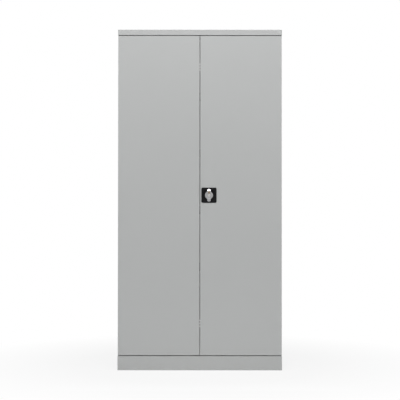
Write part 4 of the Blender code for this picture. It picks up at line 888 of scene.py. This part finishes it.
# %% Key cylinder
PLUG_PROUD = 0.0014
PLUG_FRONT = POCKET_FLOOR - PLUG_PROUD
SLOT_HALF_WIDTH, SLOT_HALF_HEIGHT, SLOT_DEPTH = 0.0007, 0.0045, 0.004
PLUG_FACE = [
    (0, 0.0003), (0.0052, 0.0003), (0.0056, 0.0001), (0.0059, 0), (0.0080, 0), (0.0083, 0.0001),
    (PLUG_RADIUS, 0.0004),
]
plug_profile = [(radius, PLUG_FRONT + sunk) for radius, sunk in PLUG_FACE]
plug_profile += [(PLUG_RADIUS, PLUG_BACK), (0, PLUG_BACK)]
plug = add("plug", turned(plug_profile, LOCK))
combine(plug, boxes((
    (LOCK_X - SLOT_HALF_WIDTH, behind(PLUG_FRONT - OVERRUN), LOCK_Z - SLOT_HALF_HEIGHT),
    (LOCK_X + SLOT_HALF_WIDTH, behind(PLUG_FRONT + SLOT_DEPTH), LOCK_Z + SLOT_HALF_HEIGHT),
)))
plug = dress("key_plug_face", taken(plug), "key_metal", "key_plug", ["key_cylinder"], TURNED_EDGE)
print("key cylinder:", len(plug.data.polygons), "faces")

# %% [markdown]
# ## Cable grommet
#
# The rubber ring that lines the cable hole in the back. Its lips are thick and round, because a sharp lip
# would tear when it is pushed in.

# %% Grommet
grommet_low, grommet_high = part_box("cable_grommet")
GROMMET = ((grommet_low.x + grommet_high.x) / 2, (grommet_low.z + grommet_high.z) / 2)
GROMMET_BORE, GROMMET_GROOVE, GROMMET_LIP = 0.007, 0.0147, 0.018
INNER_FACE, OUTER_FACE, GROMMET_NOSE = 0.4974, 0.4990, 0.4934
LIP_ROUND, LIP_SLOPE, REAR_ROUND = 0.0009, 0.0019, 0.0006

grommet_rings = quarter(GROMMET_BORE + LIP_ROUND, GROMMET_NOSE + LIP_ROUND, LIP_ROUND, 180, 270, 4)
grommet_rings += quarter(GROMMET_GROOVE - LIP_ROUND, GROMMET_NOSE + LIP_ROUND, LIP_ROUND, -90, 0, 4)
grommet_rings += quarter(GROMMET_LIP - LIP_ROUND, INNER_FACE - LIP_SLOPE, LIP_ROUND, -60, 30, 5)
grommet_rings += [(GROMMET_LIP, INNER_FACE), (GROMMET_GROOVE, INNER_FACE)]
grommet_rings += [(GROMMET_GROOVE, OUTER_FACE), (GROMMET_LIP, OUTER_FACE)]
grommet_rings += quarter(GROMMET_LIP - REAR_ROUND, DEPTH - REAR_ROUND, REAR_ROUND, 0, 90, 4)
grommet_rings += quarter(GROMMET_BORE + REAR_ROUND, DEPTH - REAR_ROUND, REAR_ROUND, 90, 180, 4)
grommet = turned(grommet_rings, GROMMET, 72, ring=True)
dress("cable_grommet_ring", grommet, "rubber_black", "cabinet", ["cable_grommet"])
print("grommet rings:", len(grommet_rings))

# %% [markdown]
# ## Hinges
#
# A hinge has two halves on one pin. The frame's half is a foot on the post, an arm and the lower knuckle
# with the pin standing in it. The door's half is the upper barrel, with a plate riveted to the leaf's lip.
# Each is a few plain forms joined into one closed mesh.

# %% Upright turned shapes
def upright_rod(profile, x, y, sides=56):
    """A closed shape turned about an upright line: (radius, height) pairs from its foot to its top."""
    return skinned([[(x + across, y + back, z) for across, back in circuit(radius, sides)]
                    for radius, z in profile])


# %% Both halves of a hinge
KNUCKLE_RADIUS, KNUCKLE_HEIGHT, KNUCKLE_GAP = 0.0035, 0.020, 0.00015
PIN_RADIUS, PIN_SHORT = 0.002, 0.002
BARREL_EDGE = 0.0004
FOOT_FRONT, FOOT_BACK = behind(0.02217), behind(0.02417)
FOOT_INNER, FOOT_HALF = 0.4567, 0.020
ARM_HALF = 0.0015
LEAF_FRONT, LEAF_BACK = behind(0.0182), behind(0.0197)
LEAF_INNER = 0.4447


def barrel(low, high):
    """The profile of a knuckle with its edges broken."""
    inner = KNUCKLE_RADIUS - BARREL_EDGE
    full = [(KNUCKLE_RADIUS, low + BARREL_EDGE), (KNUCKLE_RADIUS, high - BARREL_EDGE)]
    return [(inner, low), *full, (inner, high)]


def frame_half(side, word, place, z):
    low, high = z - KNUCKLE_GAP - KNUCKLE_HEIGHT, z - KNUCKLE_GAP
    top = z + KNUCKLE_GAP + KNUCKLE_HEIGHT - PIN_SHORT
    pin = [(PIN_RADIUS, high), (PIN_RADIUS, top - BARREL_EDGE), (PIN_RADIUS - BARREL_EDGE, top)]
    half = add("half", upright_rod(barrel(low, high) + pin, side * HINGE_X, HINGE_Y))
    outer = HINGE_X + ARM_HALF
    arm = beside(side, HINGE_X - ARM_HALF, outer, HINGE_Y, FOOT_FRONT + SHEET, low, high)
    foot = beside(side, FOOT_INNER, outer, FOOT_FRONT, FOOT_BACK, z - FOOT_HALF, z + FOOT_HALF)
    combine(half, boxes(arm), "UNION")
    combine(half, boxes(foot), "UNION")
    node = f"hinge_bracket_{word}_{place}"
    dress(f"{node}_fine", taken(half), "zinc_steel", "cabinet", [node])


def leaf_half(side, word, place, z):
    low, high = z + KNUCKLE_GAP, z + KNUCKLE_GAP + KNUCKLE_HEIGHT
    bore = [(PIN_RADIUS + PLAY, low - OVERRUN), (PIN_RADIUS + PLAY, high + OVERRUN)]
    half = add("half", boxes(beside(side, LEAF_INNER, HINGE_X, LEAF_FRONT, LEAF_BACK, low, high)))
    combine(half, upright_rod(barrel(low, high), side * HINGE_X, HINGE_Y), "UNION")
    combine(half, upright_rod(bore, side * HINGE_X, HINGE_Y))
    node = f"hinge_leaf_{word}_{place}"
    dress(f"{node}_fine", taken(half), "zinc_steel", f"door_{word}_leaf", [node])


for word, side in SIDES.items():
    for place, z in HINGE_HEIGHTS.items():
        frame_half(side, word, place, z)
        leaf_half(side, word, place, z)
print("hinges:", len(SIDES) * len(HINGE_HEIGHTS))

# %% [markdown]
# ## Socket strips
#
# A strip is a long box with round edges, in which four wells and the rocker's pocket are sunk. Around each
# well stands a raised rim, at its foot lies a grey insert with two contact holes, and two sprung clips for
# the earth stand in its wall. Small functions make them for any middle, so all sixteen sockets are the same.

# %% Strip shells
STRIP_ROUND, STRIP_ROUND_STEPS = 0.003, 6
FACE_DEPTH = 0.4554
STRIP_FACE = behind(FACE_DEPTH)
SOCKET_RADIUS, SOCKET_DEPTH = 0.019, 0.015
SOCKET_FIRST, SOCKET_PITCH, SOCKET_COUNT = 0.130, 0.100, 4
CONTACT_RADIUS, CONTACT_SPACING, CONTACT_DEPTH, CONTACT_SIDES = 0.0025, 0.019, 0.014, 32
POCKET_HALF_LENGTH, POCKET_HALF_HEIGHT, POCKET_DEPTH = 0.014, 0.0064, 0.0085
ROCKER_PLACE = 0.050


def socket_middles(number):
    low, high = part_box(f"socket_strip_{number}")
    first, z = low.x + SOCKET_FIRST, (low.z + high.z) / 2
    return [(first + SOCKET_PITCH * step, z) for step in range(SOCKET_COUNT)]


def drill_contacts(obj, x, z, front, rear):
    """Two round holes side by side, for the pins of a plug."""
    for side in (-1, 1):
        across = x + side * CONTACT_SPACING / 2
        combine(obj, cylinder(CONTACT_RADIUS, across, z, front, rear, CONTACT_SIDES))


def strip_shell(number):
    low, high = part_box(f"socket_strip_{number}")
    bm = bmesh.new()
    add_box(bm, low, high)
    round_edges(bm, bm.edges[:], STRIP_ROUND, STRIP_ROUND_STEPS)
    strip = add("strip", mesh_from(bm))
    foot = STRIP_FACE + SOCKET_DEPTH
    for x, z in socket_middles(number):
        combine(strip, cylinder(SOCKET_RADIUS, x, z, STRIP_FACE - OVERRUN, foot))
        drill_contacts(strip, x, z, foot - OVERRUN, foot + CONTACT_DEPTH)
    x, z = low.x + ROCKER_PLACE, (low.z + high.z) / 2
    combine(strip, boxes((
        (x - POCKET_HALF_LENGTH, STRIP_FACE - OVERRUN, z - POCKET_HALF_HEIGHT),
        (x + POCKET_HALF_LENGTH, STRIP_FACE + POCKET_DEPTH, z + POCKET_HALF_HEIGHT),
    )))
    dress(f"strip_shell_{number}", taken(strip), "strip_shell", "cabinet", [f"socket_strip_{number}"])


# %% Parts of a socket
RIM_WIDTH, RIM_LAP, RIM_PROUD, RIM_STEPS = 0.0022, 0.0002, 0.0009, 8
RIM_INSIDE, RIM_OUTSIDE = 0.0012, 0.0004
INSERT_THICKNESS, INSERT_GAP, INSERT_PLAY = 0.0016, 0.00015, 0.0006
CLIP_WIDTH, CLIP_THICKNESS, CLIP_LENGTH = 0.0046, 0.0005, 0.0125
CLIP_SUNK, CLIP_LIFT, CLIP_BULGE, CLIP_SWELL, CLIP_STEPS = 0.0006, 0.0005, 0.0014, 1.15, 10


def socket_rim(x, z):
    """The raised rim at a well's mouth, round in front and flush with the wall inside."""
    inner, outer = SOCKET_RADIUS - RIM_LAP, SOCKET_RADIUS + RIM_WIDTH
    middle, half = (inner + outer) / 2, (outer - inner) / 2
    profile = [(inner, FACE_DEPTH + RIM_INSIDE)]
    for step in range(RIM_STEPS + 1):
        turn = math.pi * (1 - step / RIM_STEPS)
        profile.append((middle + half * math.cos(turn), FACE_DEPTH - RIM_PROUD * math.sin(turn)))
    profile.append((outer, FACE_DEPTH + RIM_OUTSIDE))
    return turned(profile, (x, z), 96, ring=True)


def socket_insert(x, z):
    """The disc at a well's foot, with its two contact holes."""
    foot = STRIP_FACE + SOCKET_DEPTH - INSERT_GAP
    face = foot - INSERT_THICKNESS
    disc = add("disc", cylinder(SOCKET_RADIUS - INSERT_PLAY, x, z, face, foot))
    drill_contacts(disc, x, z, face - OVERRUN, foot + OVERRUN)
    return taken(disc)


def earth_clip(x, z, side):
    """A narrow sprung strip on a well's wall, bulging towards the middle. The side is 1 at the top."""
    half = CLIP_WIDTH / 2
    rows = []
    for step in range(CLIP_STEPS + 1):
        share = step / CLIP_STEPS
        y = STRIP_FACE + CLIP_SUNK + CLIP_LENGTH * share
        bulge = CLIP_BULGE * math.sin(math.pi * min(share * CLIP_SWELL, 1)) ** 2
        outer = SOCKET_RADIUS - CLIP_LIFT - bulge
        inner = outer - CLIP_THICKNESS
        section = ((-half, outer), (half, outer), (half, inner), (-half, inner))
        rows.append([(x + across, y, z + side * up) for across, up in section])
    return skinned(rows)


def joined(meshes):
    """One mesh out of several that don't touch."""
    bm = bmesh.new()
    for mesh in meshes:
        bm.from_mesh(mesh)
    return mesh_from(bm)


# %% All sixteen sockets
STRIP_NUMBERS = (1, 2, 3, 4)
INSERT_GREY = moulding("socket_insert_plastic", (0.43, 0.435, 0.445), 0.36, 1800, 0.12, 0.05)

for number in STRIP_NUMBERS:
    strip_shell(number)
    places = socket_middles(number)
    clips = [earth_clip(x, z, side) for x, z in places for side in (-1, 1)]
    for name, meshes, finish in (
        ("socket_rims", [socket_rim(x, z) for x, z in places], FINISHES["strip_shell"]),
        ("socket_inserts", [socket_insert(x, z) for x, z in places], INSERT_GREY),
        ("earth_clips", clips, FINISHES["key_metal"]),
    ):
        dress(f"{name}_{number}", joined(meshes), "strip_shell", "cabinet", finish=finish)
print("sockets:", len(STRIP_NUMBERS) * SOCKET_COUNT)

# %% [markdown]
# ## Screws and rivets
#
# Everything that is bolted or riveted shows its fasteners. A head is a small turned dome; a screw also gets
# a cross recess. Each is made once, pointing up, and then copied to its places, turned to face its own way,
# so every row of heads is one mesh that rides on the body it holds.

# %% Heads
HEAD_SIDES = 24
HEAD_SUNK = 0.0003
DOME_START, DOME_STEPS = 0.25, 5
CROSS_ARM, CROSS_FLOOR = 0.22, 0.45


def cross_bar(reach, arm, low, high):
    """An upright bar with a cross for its section."""
    quarter_turn = [(reach, -arm), (reach, arm), (arm, arm)]
    outline = []
    for _ in range(4):
        outline += quarter_turn
        quarter_turn = [(-y, x) for x, y in quarter_turn]
    return skinned([[(x, y, z) for x, y in outline] for z in (low, high)])


def head(radius, height, recess=0.0):
    """A domed head that stands on the XY plane. A recess gives it a cross of that arm length."""
    dome = [(radius, -HEAD_SUNK), (radius, height * DOME_START)]
    for step in range(1, DOME_STEPS):
        turn = math.radians(90 * step / DOME_STEPS)
        dome.append((radius * math.cos(turn), height * (DOME_START + (1 - DOME_START) * math.sin(turn))))
    mesh = upright_rod(dome, 0, 0, HEAD_SIDES)
    if not recess:
        return mesh
    cross = cross_bar(recess, recess * CROSS_ARM, height * CROSS_FLOOR, height + OVERRUN)
    return taken(combine(add("screw", mesh), cross))


def copies(mesh, places, direction):
    """One mesh of many copies, each with its foot at a place and its top looking along the direction."""
    turn = Vector(UP).rotation_difference(Vector(direction)).to_matrix().to_4x4()
    moved = []
    for place in places:
        moved.append(mesh.copy())
        moved[-1].transform(Matrix.Translation(place) @ turn)
    return joined(moved)


def fasten(name, mesh, places, direction, body, slot="zinc_steel"):
    return dress(name, copies(mesh, places, direction), slot, body)


# %% Kinds of head
foot_screw = head(0.0022, 0.0006, 0.0012)
lip_rivet = head(0.0023, 0.0008)
plate_screw = head(0.0030, 0.0012, 0.0017)
post_rivet = head(0.0030, 0.0011)
strip_screw = head(0.0034, 0.0011, 0.0019)

# %% On the hinges and the doors
LIP_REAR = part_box("door_left")[1].y
FOOT_SCREW_X, FOOT_SCREW_RISES = 0.4592, (-0.013, 0.013)
LEAF_RIVET_XS, LEAF_RIVET_RISE = (0.4475, 0.4555), 0.0102
for word, side in SIDES.items():
    heights = HINGE_HEIGHTS.values()
    feet = [(side * FOOT_SCREW_X, FOOT_FRONT, z + rise) for z in heights for rise in FOOT_SCREW_RISES]
    fasten(f"hinge_screws_{word}", foot_screw, feet, FRONT, "cabinet")
    leaves = [(side * x, LIP_REAR, z + LEAF_RIVET_RISE) for z in heights for x in LEAF_RIVET_XS]
    fasten(f"leaf_rivets_{word}", lip_rivet, leaves, REAR, f"door_{word}_leaf")

# %% On the lock
GUIDE_RIVET_REACH = 0.0073
RETAINER_SCREW_REACH = 0.038
guides = []
for node in ("rod_guide_top", "rod_guide_bottom"):
    low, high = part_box(node)
    middle = (low + high) / 2
    guides += [(middle.x + side * GUIDE_RIVET_REACH, LIP_REAR, middle.z) for side in (-1, 1)]
fasten("guide_rivets", lip_rivet, guides, REAR, "door_right_leaf")
RETAINER_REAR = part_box("dish_retainer")[1].y
reaches = (-RETAINER_SCREW_REACH, RETAINER_SCREW_REACH)
corners = [(LOCK_X + across, RETAINER_REAR, LOCK_Z + up) for across in reaches for up in reaches]
fasten("retainer_screws", plate_screw, corners, REAR, "door_right_leaf")

# %% In the carcass
POST_FACE = 0.4574
POST_RIVET_HEIGHTS = (0.2029, 0.9903, 1.7779)
BACK_RIVET_X = 0.459
BACK_RIVET_HEIGHTS = [0.13 + 0.2125 * step for step in range(9)]
for word, side in SIDES.items():
    places = []
    for place in ("front", "rear"):
        low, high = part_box(f"upright_{place}_{word}")
        places += [(side * POST_FACE, (low.y + high.y) / 2, z) for z in POST_RIVET_HEIGHTS]
    fasten(f"post_rivets_{word}", post_rivet, places, (-side, 0, 0), "cabinet")
BACK_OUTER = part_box("back_panel")[1].y
back_places = [(side * BACK_RIVET_X, BACK_OUTER, z) for side in (-1, 1) for z in BACK_RIVET_HEIGHTS]
fasten("back_rivets", post_rivet, back_places, REAR, "cabinet", "cabinet_paint")

# %% On the electrics
STRIP_SCREW_INSET, BOX_SCREW_INSET = 0.012, 0.009
BOX_FRONT = behind(0.4224)
for number in STRIP_NUMBERS:
    low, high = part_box(f"socket_strip_{number}")
    xs = (low.x + STRIP_SCREW_INSET, high.x - STRIP_SCREW_INSET)
    ends = [(x, STRIP_FACE, (low.z + high.z) / 2) for x in xs]
    fasten(f"strip_screws_{number}", strip_screw, ends, FRONT, "cabinet")
low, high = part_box("breaker_box")
xs, zs = [(low[axis] + BOX_SCREW_INSET, high[axis] - BOX_SCREW_INSET) for axis in (0, 2)]
fasten("box_screws", plate_screw, [(x, BOX_FRONT, z) for x in xs for z in zs], FRONT, "cabinet")
print("fastened: hinges, doors, lock, posts, back, strips and breaker box")

# %% [markdown]
# ## Floor, light and background
#
# The cabinet was photographed in even studio light from above and in front, and cut out on white. A wide soft
# lamp high in front makes the doors brighter at the top than at the foot, two weaker ones at the sides keep
# the edges from falling off, and the world adds a plain level all round. Two narrow ones near the front give
# back the light that a white floor and a white sheet above would throw on the plinth and the cap, and one
# stands behind, for the back panel. By Light Path the background is white for the camera and for whatever
# mirrors it or lets it through, and dull surfaces get only the plain level from it. The floor is white in the
# same way, but keeps the soft shadow in which the plinth stands.

# %% Lamps
LAMPS = {
    "lamp_high_front": ((3.2, 1.6), 81, (0.0, -3.4, 3.9), (0, 0, 1.25)),
    "lamp_left": ((1.2, 2.6), 31, (-3.4, -2.6, 2.3), (0, 0, 1.4)),
    "lamp_right": ((1.2, 2.6), 31, (3.4, -2.6, 2.3), (0, 0, 1.4)),
    "bounce_low": ((1.6, 0.2), 0.5, (0.0, -0.95, 0.12), (0, -0.25, 0.1)),
    "bounce_high": ((1.6, 0.2), 0.4, (0.0, -0.95, 2.3), (0, -0.25, 1.9)),
    "lamp_behind": ((2.6, 1.2), 38, (0.0, 3.6, 1.25), (0, 0, 1.0)),
}
for name, (size, power, place, target) in LAMPS.items():
    light = bpy.data.lights.new(name, "AREA")
    light.shape = "RECTANGLE"
    light.size, light.size_y = size
    light.energy = power
    lamp = add(name, light)
    lamp.location = place
    lamp.rotation_euler = (Vector(target) - Vector(place)).to_track_quat("-Z", "Y").to_euler()
    lamp.visible_camera = False
print("lamps:", len(LAMPS))

# %% World
WORLD_LEVEL = 0.29
world = bpy.data.worlds.new("world")
bpy.context.scene.world = world
world.use_nodes = True
sky = Nodes(world.node_tree)
plain = sky.tree.nodes["Background"]
sky.feed(plain.inputs["Color"], (0.97, 0.985, 1.0, 1))
sky.feed(plain.inputs["Strength"], WORLD_LEVEL)
sky.whiten(plain, "ShaderNodeBackground", 1, "World Output")
print("world:", len(sky.tree.nodes), "nodes")

# %% Floor
FLOOR_SIZE = 60.0
SHADOW_REACH = 1.6
SHADOW_SHARE = 0.16

pale = Finish("pale_floor", (0.80, 0.80, 0.80), Roughness=0.9, Specular_IOR_Level=0.0)
away = pale.away((0, 0, 0), (1, 1, 1)) * (1 / SHADOW_REACH)
near = pale.ramp(away, [(0.45, 1.0), (1.0, 0.0)])
pale.whiten(pale.shader, "ShaderNodeEmission", 1 - near * SHADOW_SHARE, "Material Output")
bm = bmesh.new()
bmesh.ops.create_grid(bm, x_segments=1, y_segments=1, size=FLOOR_SIZE / 2)
floor = add("floor", mesh_from(bm, "floor"))
floor.data.materials.append(pale.material)
bpy.context.scene.view_settings.view_transform = "Standard"
print("floor:", FLOOR_SIZE, "m")
